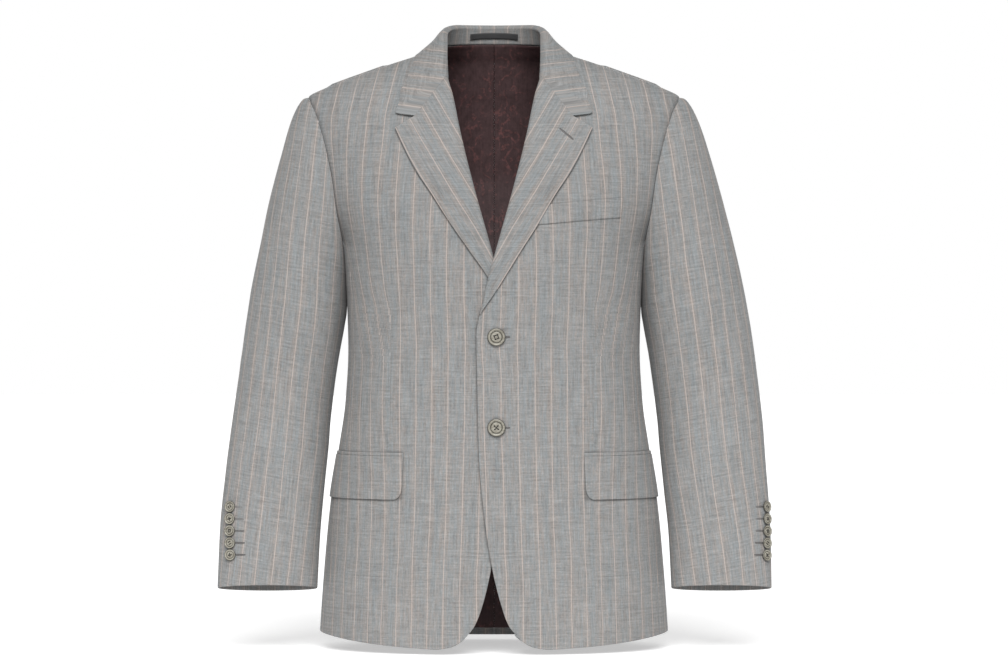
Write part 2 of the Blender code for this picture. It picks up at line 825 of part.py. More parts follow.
def add(name, bm, finish):
    bmesh.ops.recalc_face_normals(bm, faces=bm.faces)
    if bm.calc_volume(signed=True) < 0:
        bmesh.ops.reverse_faces(bm, faces=bm.faces)
    mesh = bpy.data.meshes.new(name)
    bm.to_mesh(mesh)
    bm.free()
    mesh.shade_smooth()
    mesh.set_sharp_from_angle(angle=math.radians(40))
    mesh.materials.append(finish)
    part = bpy.data.objects.new(name, mesh)
    bpy.data.collections["blazer"].objects.link(part)
    return part


def material(name, color, roughness, metallic=0.0):
    finish = bpy.data.materials.new(name)
    finish.use_nodes = True
    shader = finish.node_tree.nodes["Principled BSDF"]
    shader.inputs["Base Color"].default_value = (*color, 1.0)
    shader.inputs["Roughness"].default_value = roughness
    shader.inputs["Metallic"].default_value = metallic
    return finish


def lift_place(place, lift):
    """The same place, moved out from the panel it lies on."""
    def lifted(u, v):
        point, normal = place(u, v)
        return point + normal * lift, normal
    return lifted


def pocket_angle(x, z):
    return math.degrees(math.asin(min(x / body("side", z), 1.0) ** (SQUARENESS / 2)))


def flap_place(u, v):
    """Pocket flap on the form: u from its front edge to its rear edge, v from bottom to top."""
    z = FLAP_BOTTOM + (JET_BOTTOM - SEAM - FLAP_BOTTOM) * v
    front = pocket_angle(FLAP_FRONT_X + FLAP_SLANT * (1 - v), z)
    corner = max(1 - (z - FLAP_BOTTOM) / FLAP_CORNER, 0.0)
    angle = front + (FLAP_REAR_ANGLE - front) * u
    reach = body("side", z) * math.radians(angle - front)
    missing = FLAP_CORNER_DEPTH * (1 - math.sqrt(max(1 - corner ** 2, 0.0)))
    angle += math.degrees(missing / body("side", z)) * max(1 - reach / FLAP_CORNER_SPREAD, 0.0)
    point = skin_round(angle, z)
    return point, skin_normal(point)


def jet_place(u, v):
    z = JET_BOTTOM + (JET_TOP - JET_BOTTOM) * v
    front = pocket_angle(FLAP_FRONT_X, z)
    point = skin_round(front + (FLAP_REAR_ANGLE - front) * u, z)
    return point, skin_normal(point)


def welt_place(u, v):
    """Breast welt: a slanting band, u outwards and v up."""
    low = Vector(WELT_LOW[0]).lerp(Vector(WELT_LOW[1]), u)
    high = Vector(WELT_HIGH[0]).lerp(Vector(WELT_HIGH[1]), u)
    spot = low.lerp(high, v) * MM
    point = skin(spot[0], spot[1], FRONT)
    return point, skin_normal(point)


def loop_place(u, v):
    """Hanger loop on the stand: u across the back of the neck, v up."""
    station = (u * 2 - 1) * LOOP_REACH
    bow = LOOP_BOW * (1 - (u * 2 - 1) ** 2)
    across = LOOP_LOW + bow + LOOP_TALL * v
    step = 0.02
    ahead = collar_point(station + step, across) - collar_point(station - step, across)
    up = collar_point(station, across + step) - collar_point(station, across - step)
    return collar_point(station, across), ahead.cross(up).normalized()


def button(name, radius, centre, facing, finish, segments):
    """Turned button with a raised rim: a profile spun round its axis, set on the cloth."""
    bm = bmesh.new()
    verts = [bm.verts.new((across * radius, 0.0, up * radius * BUTTON_THICKNESS))
             for across, up in BUTTON_PROFILE]
    edges = [bm.edges.new(pair) for pair in zip(verts, verts[1:])]
    bmesh.ops.spin(bm, geom=verts + edges, cent=(0, 0, 0), axis=(0, 0, 1),
                   angle=math.tau, steps=segments, use_merge=True)
    bmesh.ops.remove_doubles(bm, verts=bm.verts, dist=0.02 * MM)
    turn = facing.to_track_quat("Z", "Y").to_matrix().to_4x4()
    turn.translation = centre
    bm.transform(turn)
    return add(name, bm, finish)


def build_fronts(wool):
    for side, name, over in ((LEFT, "left", True), (RIGHT, "right", False)):
        place, rows = front_panel(over)
        wall(f"front_{name}", place, FRONT_COLUMNS, rows, CLOTH, wool, side)
        place, columns = lapel_piece(over)
        wall(f"lapel_{name}", place, columns, LAPEL_ROWS, CLOTH, wool, side)


def build_body(wool, satin):
    side_columns = round((BACK_SEAM_AT - FRONT_SEAM_AT) / ARMHOLE_STEP)
    for side, name in ((LEFT, "left"), (RIGHT, "right")):
        wall(f"side_{name}", side_panel(), side_columns, BODY_ROWS, CLOTH, wool, side)
        place, rows = back_panel(0.0, 0.0)
        wall(f"back_{name}", place, BACK_COLUMNS, rows, CLOTH, wool, side)
        place, rows = back_panel(LINING_DEPTH, LINING_RISE)
        wall(f"lining_back_{name}", place, BACK_COLUMNS, rows, LINING_CLOTH, satin, side)


def build_sleeves(wool):
    top_columns = round((SLEEVE_FRONT_SEAM_AT - SLEEVE_BACK_SEAM_AT) / ARMHOLE_STEP)
    under_columns = round(360 / ARMHOLE_STEP) - top_columns
    for side, name in ((LEFT, "left"), (RIGHT, "right")):
        wall(f"top_sleeve_{name}", sleeve_piece(True), top_columns, SLEEVE_ROWS, CLOTH, wool, side)
        wall(f"under_sleeve_{name}", sleeve_piece(False), under_columns, SLEEVE_ROWS, CLOTH, wool, side)


def build_collar(wool, tape):
    columns = 2 * (len(COLLAR_STATIONS) - 1)
    wall("collar", by_steps(collar_place, 0.002), columns, len(COLLAR_ACROSS) - 1, CLOTH, wool)
    wall("hanger_loop", lift_place(loop_place, LOOP_GAP + WELT_CLOTH), 8, 2, WELT_CLOTH, tape)


def build_pockets(wool):
    for side, name in ((LEFT, "left"), (RIGHT, "right")):
        wall(f"pocket_flap_{name}", lift_place(flap_place, LAID_ON + CLOTH), 12, 6, CLOTH, wool, side)
        wall(f"pocket_jet_{name}", lift_place(jet_place, LAID_ON + WELT_CLOTH), 12, 1,
             WELT_CLOTH, wool, side)
    wall("breast_welt", lift_place(welt_place, LAID_ON + WELT_CLOTH), 8, 2, WELT_CLOTH, wool)


def build_buttons(horn):
    for name, z in FRONT_BUTTON_HEIGHTS.items():
        seat = skin(FRONT_BUTTON_X, z, FRONT)
        facing = skin_normal(seat)
        button(f"front_button_{name}", FRONT_BUTTON_RADIUS, seat + facing * LAID_ON, facing, horn, 24)
    place = by_steps(lambda u, v: sleeve_point(u * 360, v * SLEEVE_ROWS), 0.004)
    for side, name in ((LEFT, "left"), (RIGHT, "right")):
        for i in range(CUFF_BUTTON_COUNT):
            below = SLEEVE.at("out_z", SLEEVE_ROWS) * MM + LOWEST_CUFF_BUTTON
            height = below + CUFF_BUTTON_PITCH * (CUFF_BUTTON_COUNT - 1 - i)
            row = sleeve_row_at(height)
            seat, facing = place(CUFF_BUTTON_TURN / 360, row / SLEEVE_ROWS)
            facing = Vector((facing.x * side, facing.y, facing.z))
            facing = facing if facing.y < 0 else -facing
            seat = Vector((seat.x * side, seat.y, seat.z)) + facing * LAID_ON
            button(f"cuff_button_{name}_{i + 1}", CUFF_BUTTON_RADIUS, seat, facing, horn, 16)


def sleeve_row_at(height):
    """Row of the sleeve at which its button line comes to a height."""
    low, high = 10.0, float(SLEEVE_ROWS)
    for _ in range(30):
        middle = (low + high) / 2
        if sleeve_point(CUFF_BUTTON_TURN, middle).z > height:
            low = middle
        else:
            high = middle
    return (low + high) / 2


def main():
    for item in list(bpy.data.objects):
        bpy.data.objects.remove(item)
    bpy.context.scene.collection.children.link(bpy.data.collections.new("blazer"))
    wool = material("grey_wool", (0.30, 0.29, 0.29), 0.85)
    satin = material("plum_lining", (0.045, 0.028, 0.03), 0.5)
    tape = material("black_tape", (0.03, 0.03, 0.032), 0.6)
    horn = material("grey_horn", (0.32, 0.30, 0.27), 0.35)
    build_fronts(wool)
    build_body(wool, satin)
    build_sleeves(wool)
    build_collar(wool, tape)
    build_pockets(wool)
    build_buttons(horn)


main()
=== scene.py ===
"""Looks of a two-button blazer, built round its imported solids. Metres, +Z up, the front to -Y and
the wearer's left to +X. The body, the sleeves and the collar are smooth forms worked out from the
short tables below, in millimetres. Each cut piece is a fine wall of cloth laid on one of these
forms, with rounded edges, sunk darts and soft folds, and its stripes run along its grain.
"""

import math
from functools import lru_cache

import bmesh
import bpy
from mathutils import Matrix, Vector


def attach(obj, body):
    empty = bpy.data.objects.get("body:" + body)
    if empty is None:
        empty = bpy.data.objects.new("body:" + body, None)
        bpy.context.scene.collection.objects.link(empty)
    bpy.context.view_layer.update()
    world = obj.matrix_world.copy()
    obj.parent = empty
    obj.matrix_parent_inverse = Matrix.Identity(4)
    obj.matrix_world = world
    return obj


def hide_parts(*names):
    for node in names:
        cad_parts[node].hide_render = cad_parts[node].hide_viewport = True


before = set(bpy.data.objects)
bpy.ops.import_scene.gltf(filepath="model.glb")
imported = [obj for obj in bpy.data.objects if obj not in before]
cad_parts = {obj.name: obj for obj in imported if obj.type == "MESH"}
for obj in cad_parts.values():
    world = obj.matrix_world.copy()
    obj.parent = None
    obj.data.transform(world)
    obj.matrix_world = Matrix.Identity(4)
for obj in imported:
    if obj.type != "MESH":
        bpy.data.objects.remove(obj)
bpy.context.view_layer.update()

MM = 0.001
UP = Vector((0.0, 0.0, 1.0))
FRONT = -1.0
BACK = 1.0
LEFT = 1.0
RIGHT = -1.0

# cloth and gaps
CLOTH = 1.8 * MM
WELT_CLOTH = 1.2 * MM
COLLAR_CLOTH = 1.5 * MM
LINING_CLOTH = 1.0 * MM
SEAM = 0.02 * MM
LAID_ON = 0.5 * MM
LINING_DEPTH = 2.5 * MM
LINING_RISE = 9.0 * MM
LINING_NECK_RISE = 1.4 * MM

# turned cloth: how far lapels and collar lie above the form, and how they turn over their fold
TURNED_LIFT = 4.4 * MM
EDGE_LIFT = 2.0 * MM
LAPEL_EDGE_LIFT = 3.4 * MM
LOW_LAPEL_LIFT = 2.5 * MM
ROLL_TURN = 2.6 * MM
FLAT_RISE = 2.2 * MM
ROLL_BLEND = 30.0 * MM
GORGE_BLEND = 40.0 * MM
LAPEL_LIFT_LOW, LAPEL_LIFT_BLEND = -270, 100
TURN_OUT = 2.9 * MM
TURN_RISE = 3.3 * MM
TURN_INSIDE = 2.2 * MM
TURN_LEAD = 3.4 * MM
TURN_COLUMNS = 3
BACK_TURN_EXTRA = 0.9 * MM
FALL_BULGE = 1.5 * MM

# how far the underlying front lies inside the form, and how much more below the lapels
UNDER_SINK = 2.8 * MM
UNDER_LAPEL_SINK = 3.8 * MM
UNDER_LAPEL_LOW, UNDER_LAPEL_LOW_BLEND = -420, 90
UNDER_LAPEL_HIGH, UNDER_LAPEL_HIGH_BLEND = -215, 40
UNDER_REACH, UNDER_REACH_BLEND = 70, 50

# the body form: its sections are rounder than an ellipse is square by this power
SQUARENESS = 2.5
SLEEVE_HEAD_HEIGHT = -86.0 * MM
HEM_SIDE = -731.5 * MM
HEM_DROP = 15.0 * MM
SHOULDER_TIP = (236.0 * MM, -55.5 * MM)
NECK_POINT = (70.0 * MM, 10.5 * MM)
BACK_NECK = 17.0 * MM
EDGE_LOW = -727.0 * MM
CORNER_END = 95.0 * MM
CORNER_BLEND = 30.0 * MM
FIRST_ROW_SHARE = 0.6
FRONT_ARMHOLE_LEVEL = -243.0 * MM
BACK_ARMHOLE_LEVEL = -225.0 * MM
BACK_NECK_COLUMNS = 3

# the armhole, an oval seen from the side
ARMHOLE_MIDDLE_Y = 4.0 * MM
ARMHOLE_MIDDLE_Z = -162.0 * MM
ARMHOLE_HALF_HEIGHT = 106.5 * MM
ARMHOLE_FRONT_REACH = 62.0 * MM
ARMHOLE_BACK_REACH = 58.0 * MM
ARMHOLE_STEP = 15.0
FRONT_SEAM_AT = 135.0
BACK_SEAM_AT = 240.0
SLEEVE_FRONT_SEAM_AT = 165.0
SLEEVE_BACK_SEAM_AT = -60.0

# where the side seams run on the form, in degrees round from the centre front
FRONT_SEAM_ANGLE = 70.0
BACK_SEAM_ANGLE = 118.0
SEAM_BLEND = 120.0 * MM

# pockets
JET_TOP = -503.0 * MM
JET_BOTTOM = -507.4 * MM
FLAP_BOTTOM = -561.5 * MM
FLAP_FRONT_X = 112.0 * MM
FLAP_REAR_ANGLE = 87.0
FLAP_SLANT = 2.5 * MM
FLAP_CORNER = 15.0 * MM
FLAP_CORNER_DEPTH = 12.0 * MM
FLAP_CORNER_SPREAD = 45.0 * MM
WELT_LOW = ((55.0, -220.3), (157.8, -210.2))
WELT_HIGH = ((64.0, -195.6), (161.0, -185.4))

# buttons
FRONT_BUTTON_RADIUS = 11.3 * MM
FRONT_BUTTON_X = 3.3 * MM
FRONT_BUTTON_HEIGHTS = {"top": -359.3 * MM, "bottom": -471.5 * MM}
CUFF_BUTTON_RADIUS = 7.35 * MM
CUFF_BUTTON_PITCH = 15.1 * MM
CUFF_BUTTON_COUNT = 5
LOWEST_CUFF_BUTTON = 42.0 * MM
CUFF_BUTTON_TURN = 37.0
BUTTON_THICKNESS = 0.3

# collar stand, above its seam on the neck edge; it runs out this many stations past the shoulder
STAND_INSET = 2.5 * MM
STAND_RISE = 0.7 * MM
STAND_END = 3.4 * MM
STAND_RUNS_OUT = 3
FOLD_STARTS = 3.3 * MM

# hanger loop: collar stations out from the centre back, and shares of the stand's height
LOOP_REACH = 1.35
LOOP_LOW = 0.32
LOOP_TALL = 0.44
LOOP_BOW = 0.1
LOOP_GAP = 0.9 * MM

# the pieces' own counts of rows and columns, which set where their places lie
BODY_ROWS = 12
BACK_COLUMNS = 8
SLEEVE_ROWS = 15


class Table:
    """Rows of sizes, read between its rows along a smooth line that never overshoots."""

    def __init__(self, columns, rows):
        self.names = columns.split()
        self.keys = [row[0] for row in rows]
        self.columns = {name: [row[i] for row in rows] for i, name in enumerate(self.names)}
        self.slopes = {name: self.find_slopes(values) for name, values in self.columns.items()}

    def find_slopes(self, values):
        steps = [b - a for a, b in zip(self.keys, self.keys[1:])]
        rises = [(b - a) / step for a, b, step in zip(values, values[1:], steps)]
        slopes = [rises[0]]
        for i in range(1, len(rises)):
            if rises[i - 1] * rises[i] <= 0:
                slopes.append(0.0)
                continue
            before = 2 * steps[i] + steps[i - 1]
            after = steps[i] + 2 * steps[i - 1]
            slopes.append((before + after) / (before / rises[i - 1] + after / rises[i]))
        return slopes + [rises[-1]]

    @lru_cache(50000)
    def at(self, name, key):
        keys = self.keys
        key = min(max(key, keys[0]), keys[-1])
        i = next(k for k in range(1, len(keys)) if key <= keys[k]) - 1
        step = keys[i + 1] - keys[i]
        t = (key - keys[i]) / step
        values = self.columns[name]
        slopes = self.slopes[name]
        return ((1 + 2 * t) * (1 - t) ** 2 * values[i] + t * (1 - t) ** 2 * step * slopes[i]
                + t * t * (3 - 2 * t) * values[i + 1] + t * t * (t - 1) * step * slopes[i + 1])

    def size(self, name, key):
        """A size in metres at a height or distance in metres."""
        return self.at(name, key / MM) * MM


# half breadth at the side, and where the middle, front and back lie, by height
BODY = Table("height side middle front back", [
    (-748, 222, 0, -138, 128),
    (-660, 216, 0, -136, 127),
    (-560, 206.5, 0, -133, 121),
    (-500, 197, 0, -131, 114),
    (-440, 188.5, 0, -129, 107),
    (-375, 185, 0, -128, 104),
    (-330, 186, 0, -129, 106),
    (-280, 189, 0, -132, 113),
    (-254, 193, 1, -133, 118),
    (-237, 199, 2, -133, 121),
    (-200, 214, 3, -132, 124),
    (-160, 225, 4, -127, 125),
    (-121, 234, 4, -117, 120),
    (-86, 238, 4, -104, 113),
    (-70, 238, 4, -95, 109),
    (-55.5, 236, 4, -87, 105),
    (-42, 211.5, 4, -77, 100),
    (-27, 172, 4, -64, 95),
    (-14, 135, 4, -50, 90),
    (-2, 98, 4, -34, 85),
    (4.5, 78, 4, -24, 81),
    (10.5, 70, 4, -17, 77.5),
    (17, 62, 4, -10, 74),
    (32, 56, 4, -4, 68),
])

# neck seam of the back, outwards from the centre
BACK_NECK_LINE = Table("across height", [
    (0, 17), (20, 16.8), (40, 15.6), (58, 13.2), (70, 10.5),
])

# front edge and roll line of the overlying and the underlying front, outwards from the centre
FRONT_EDGE = Table("height over under", [
    (-727, 27.5, 31.5),
    (-718, 19.6, 24.5),
    (-690, 9, 13.5),
    (-640, -3, 2),
    (-585, -11.3, -6.3),
    (-511, -18.2, -13.2),
    (-412, -20.7, -15.7),
    (-356, -21.6, -16),
    (-337, -18.5, -14),
    (-317, -13.5, -10.5),
    (-286, -6.5, -6),
    (-264, -0.4, -0.4),
    (-165, 26.9, 26.9),
    (-105, 41.5, 41.5),
    (-56, 51.6, 51.6),
    (-35, 57.5, 57.5),
    (-20, 59.5, 59.5),
    (-8, 62.5, 62.5),
    (4, 67, 67),
    (10.5, 70, 70),
])

# hem of a front from its rounded corner outwards; past the corner it follows the hem all round
FRONT_CORNER = Table("across height", [
    (27.5, -727),
    (36, -736.3),
    (50.5, -743.6),
    (70, -746),
    (90, -745.2),
])

# outer edge of each turned lapel, outwards from the centre
LAPEL_EDGE = Table("height over under", [
    (-331, -17, -10),
    (-319.5, -9.2, -5),
    (-305, 1, -1),
    (-290, 10.8, 5),
    (-253, 33.7, 30),
    (-221, 54.1, 52),
    (-185, 75, 75),
    (-152, 96.4, 96.6),
    (-124, 111, 111.2),
    (-99.5, 122.3, 122.3),
])
LAPEL_NOTCH = (97.3 * MM, -84.9 * MM)
LAPEL_POINT_HEIGHT = -99.5 * MM
LAPEL_BREAK = {"over": -331.0 * MM, "under": -300.0 * MM}
ROLL_START = -331.0 * MM
GORGE_TOP = -35.0 * MM
LAPEL_COLUMNS = 5

# the collar from the centre back to the notch: its seam on the neck edge, its fold and outer edge
COLLAR = Table("station seam_turn seam_z fold_x fold_y fold_z edge_turn edge_z", [
    (0, 180, 17, 0, 69, 38, 180, -5),
    (1, 162, 16.5, 24, 65, 37.8, 165, -6),
    (2, 140, 15, 42, 51, 36.8, 147, -6.5),
    (3, 118, 13, 54, 28, 32.8, 127, -5.5),
    (4, 90, 10.5, 58.5, 4, 25, 90, -0.8),
    (5, 90, 4.3, 58.5, -17, 13, 49.2, -11),
    (6, 90, -3, 58.5, -32, 1, 33.7, -26),
    (7, 90, -12, 58.3, -45, -11, 25.9, -44),
    (8, 90, -22, 58, -56, -21.5, 24.4, -62),
    (9, 90, -29, 57.8, -63, -28.8, 25.7, -78.6),
    (10, 90, -33.5, 57.6, -65.8, -32.2, 19.1, -83.7),
])
COLLAR_END = 10
GORGE_BLEND_FROM = 7.5
GORGE_ACROSS = (2, 2.35, 2.7, 3, 5)
GORGE_COLUMNS = (1, 1.5, 2, 2.5, 6)
COLLAR_RIDGE = 4

# the sleeve from the armhole to the cuff, by its outer and its inner edge seen from the front
SLEEVE = Table("row out_x out_z in_x in_z depth middle pitch", [
    (0, 236.3, -55.2, 190.8, -268.5, 60, 4, 0),
    (1, 242, -57.5, 189.8, -271.5, 61, 4, 0),
    (2, 249.5, -65.5, 188.2, -275.5, 62, 4, 0),
    (3, 256.5, -79, 186.8, -281, 63, 4, 0),
    (4, 264, -100, 186.0, -288, 64, 4, 0),
    (5, 272, -128, 186.0, -298, 64.5, 3, 0),
    (6, 281, -160, 186.3, -311, 64.5, 2, 0),
    (7, 290, -194, 186.9, -327, 64, 1, 0),
    (8, 300, -240, 189.8, -346, 62, 0, 0),
    (9, 310.5, -290, 195.3, -376, 58.5, 0, 0.01),
    (10, 320, -345, 201.5, -412, 54, -2, 0.03),
    (11, 329, -405, 207, -455, 49, -6, 0.06),
    (12, 337, -465, 212, -503, 43.5, -13, 0.1),
    (13, 343.5, -528, 217, -552, 38, -23, 0.14),
    (14, 348, -598, 221.5, -608, 32, -34, 0.18),
    (15, 350.3, -675, 224.5, -675, 26, -47, 0.2),
])
SLEEVE_BLEND_ROWS = 6.0
SLEEVE_RADIUS = 60.0 * MM
SLEEVE_DRAWN_BACK = -0.08 * MM

# back seam of the sleeve, in degrees round from its outer edge towards the front
SLEEVE_BACK_SEAM = Table("row angle", [
    (0, SLEEVE_BACK_SEAM_AT),
    (5, -55),
    (9, -35),
    (12, -10),
    (15, 8),
])


def clamp(value, low, high):
    return min(max(value, low), high)


def ease(value):
    """Smooth step from 0 to 1."""
    value = clamp(value, 0.0, 1.0)
    return value * value * (3 - 2 * value)


def turning_point(low, high, steps, is_below):
    """Value between low and high where a test stops being true, found by halving."""
    for _ in range(steps):
        middle = (low + high) / 2
        if is_below(middle):
            low = middle
        else:
            high = middle
    return low


def body(name, z):
    return BODY.size(name, z)


def depth_of(face, z):
    """How far the form reaches before its middle line, or behind it."""
    return abs(body("front" if face == FRONT else "back", z) - body("middle", z))


def face_of(y, z):
    return FRONT if y < body("middle", z) else BACK


def hem_height(angle):
    return HEM_SIDE - HEM_DROP * math.cos(math.radians(angle)) ** 2


def form_angle(x, z):
    """Degrees round from the centre front at which the front of the form is as far out as x."""
    return math.degrees(math.asin(min(x / body("side", z), 1.0) ** (SQUARENESS / 2)))


def skin(x, z, face):
    """Point of the body form seen at (x, z) from the front, or from the back."""
    across = min(abs(x) / body("side", z), 1.0)
    reach = depth_of(face, z) * math.sqrt(1 - across ** SQUARENESS)
    return Vector((x, body("middle", z) + face * reach, z))


def skin_round(angle, z):
    """Point of the body form at an angle in degrees round from the centre front."""
    face = FRONT if angle < 90 else BACK
    turn = math.radians(angle)
    x = body("side", z) * math.sin(turn) ** (2 / SQUARENESS)
    return Vector((x, body("middle", z) + face * depth_of(face, z) * abs(math.cos(turn)), z))


def form_level(point, z):
    """Below 0 inside the body form's section at height z, above 0 outside it."""
    reach = (point.y - body("middle", z)) / depth_of(face_of(point.y, z), z)
    return (abs(point.x) / body("side", z)) ** SQUARENESS + reach ** 2 - 1


def form_slope(point):
    """Gradient of form_level at a point."""
    step = 0.5 * MM
    reach = point.y - body("middle", point.z)
    depth = depth_of(face_of(point.y, point.z), point.z)
    side = body("side", point.z)
    across = SQUARENESS * (abs(point.x) / side) ** (SQUARENESS - 1) / side
    rise = (form_level(point, point.z + step) - form_level(point, point.z - step)) / (2 * step)
    return Vector((math.copysign(across, point.x), 2 * reach / depth ** 2, rise))


def skin_normal(point):
    return form_slope(point).normalized()


def lifted_clear(point, lift):
    """The point, moved out where it would come nearer to the body form than the lift."""
    for _ in range(3):
        slope = form_slope(point)
        distance = form_level(point, point.z) / slope.length
        if distance < lift:
            point = point + slope.normalized() * (lift - distance)
    return point


def armhole_yz(turn):
    """Side view of the armhole, by degrees round from the shoulder tip towards the front."""
    angle = math.radians(turn)
    reach = ARMHOLE_FRONT_REACH if math.sin(angle) > 0 else ARMHOLE_BACK_REACH
    return (ARMHOLE_MIDDLE_Y - reach * math.sin(angle),
            ARMHOLE_MIDDLE_Z + ARMHOLE_HALF_HEIGHT * math.cos(angle))


def armhole(turn):
    """Point of the armhole on the form, on the +X side."""
    y, z = armhole_yz(turn)
    reach = abs(y - body("middle", z)) / depth_of(face_of(y, z), z)
    return Vector((body("side", z) * (1 - min(reach, 1.0) ** 2) ** (1 / SQUARENESS), y, z))


def armhole_angle(turn):
    """Degrees round the body form at which the armhole point lies."""
    y, z = armhole_yz(turn)
    reach = (body("middle", z) - y) / depth_of(face_of(y, z), z)
    return math.degrees(math.acos(clamp(reach, -1.0, 1.0)))


def seam_angle(meets, low_angle, z):
    """Degrees round at which a side seam runs; it meets the armhole at the turn given."""
    below = (armhole_yz(meets)[1] - z) / SEAM_BLEND
    top_angle = armhole_angle(meets)
    return top_angle + (low_angle - top_angle) * ease(below)


def seam_point(meets, low_angle, share, gap, rise=0.0):
    """Place (angle, height) on a side seam, from the hem at 0 to the armhole at 1."""
    low = hem_height(low_angle) + rise
    z = low + (armhole_yz(meets)[1] - low) * share
    angle = seam_angle(meets, low_angle, z)
    return angle + math.degrees(gap / body("side", z)), z


def breadth(z):
    return body("side", min(z, SLEEVE_HEAD_HEIGHT))


def lean(x, z):
    """Turn that spreads the front view evenly round the side."""
    return math.asin(clamp(x / breadth(z), -1.0, 1.0))


def as_lean(point):
    return Vector((lean(point.x, point.z), point.z))


def patch(edges, u, v):
    """A pair of numbers inside four edge lines (left and right by v, bottom and top by u)."""
    left, right, bottom, top = edges
    sides = left(v) * (1 - u) + right(v) * u
    ends = bottom(u) * (1 - v) + top(u) * v
    corners = ((left(0) * (1 - u) + right(0) * u) * (1 - v)
               + (left(1) * (1 - u) + right(1) * u) * v)
    return sides + ends - corners


def on_form(place, face):
    """Skin point for a pair (lean, height)."""
    z = place[1]
    point = skin(breadth(z) * math.sin(place[0]), z, face)
    middle = body("middle", z)
    point.y = middle + face * max(abs(point.y - middle), SEAM / 2)
    return point


def upper_share(turn, meets):
    """How far down the armhole has come at a turn, from 0 at its tip to 1 at the seam."""
    return (1 - math.cos(math.radians(turn))) / (1 - math.cos(math.radians(meets)))


def row_share(row):
    """Share of the side seam below a row; the rows lie closer near the hem."""
    share = row / BODY_ROWS
    return share * (FIRST_ROW_SHARE + (1 - FIRST_ROW_SHARE) * share)


def rows_of(lower_rows, meets):
    """Rows of a front or back: lower rows up the side seam, then one for each armhole step."""
    return lower_rows + round(meets / ARMHOLE_STEP)


def side_edge(row, meets, low_angle, gap, face):
    """Side edge of a front or back at a row, as (lean, height)."""
    if row <= BODY_ROWS:
        angle, z = seam_point(meets, low_angle, row_share(row), gap)
        point = skin_round(angle, z)
    else:
        turn = meets - (row - BODY_ROWS) * ARMHOLE_STEP
        point = armhole(turn * -face)
    return as_lean(point)


def sink_of_under_front(x, z):
    """How far the underlying front lies inside the form, to pass below the overlying one."""
    lapels = (ease((z / MM - UNDER_LAPEL_LOW) / UNDER_LAPEL_LOW_BLEND)
              * ease((UNDER_LAPEL_HIGH - z / MM) / UNDER_LAPEL_HIGH_BLEND))
    sink = UNDER_SINK + UNDER_LAPEL_SINK * lapels
    return sink * ease((UNDER_REACH - x / MM) / UNDER_REACH_BLEND)


def front_panel(over):
    """Place function of a front, on the +X side; rows run from the hem to the shoulder seam."""
    side = "over" if over else "under"
    rows = rows_of(BODY_ROWS, FRONT_SEAM_AT)

    @lru_cache(None)
    def left(v):
        row = v * rows
        if row <= BODY_ROWS:
            z = EDGE_LOW + (FRONT_ARMHOLE_LEVEL - EDGE_LOW) * row_share(row)
        else:
            turn = FRONT_SEAM_AT - (row - BODY_ROWS) * ARMHOLE_STEP
            drop = (NECK_POINT[1] - FRONT_ARMHOLE_LEVEL) * upper_share(turn, FRONT_SEAM_AT)
            z = NECK_POINT[1] - drop
        return Vector((lean(front_edge(side, z), z), z))

    @lru_cache(None)
    def right(v):
        return side_edge(v * rows, FRONT_SEAM_AT, FRONT_SEAM_ANGLE, -SEAM / 2, FRONT)

    start = left(0)
    end = right(0)

    @lru_cache(None)
    def bottom(u):
        turn = start[0] + (end[0] - start[0]) * u
        x = body("side", HEM_SIDE) * math.sin(turn)
        z = hem_height(form_angle(x, HEM_SIDE))
        from_edge = x - FRONT_EDGE.size(side, EDGE_LOW)
        corner = FRONT_CORNER.size("height", FRONT_EDGE.size("over", EDGE_LOW) + from_edge)
        z += (corner - z) * ease((CORNER_END - x) / CORNER_BLEND)
        return Vector((turn + (start[0] - turn) * (u == 0), z + (end[1] - z) * (u == 1)))

    @lru_cache(None)
    def top(u):
        x = NECK_POINT[0] + (SHOULDER_TIP[0] - NECK_POINT[0]) * u
        return Vector((lean(x, 0.0), shoulder_height(x)))

    def place(u, v):
        spot = patch((left, right, bottom, top), u, v)
        point = on_form(spot, FRONT)
        if not over:
            point = point - skin_normal(point) * sink_of_under_front(point.x, point.z)
        return point

    return place, rows


def shoulder_height(x):
    """Height of the shoulder seam at a distance from the centre."""
    return turning_point(SHOULDER_TIP[1], NECK_POINT[1], 40, lambda z: body("side", z) > x)


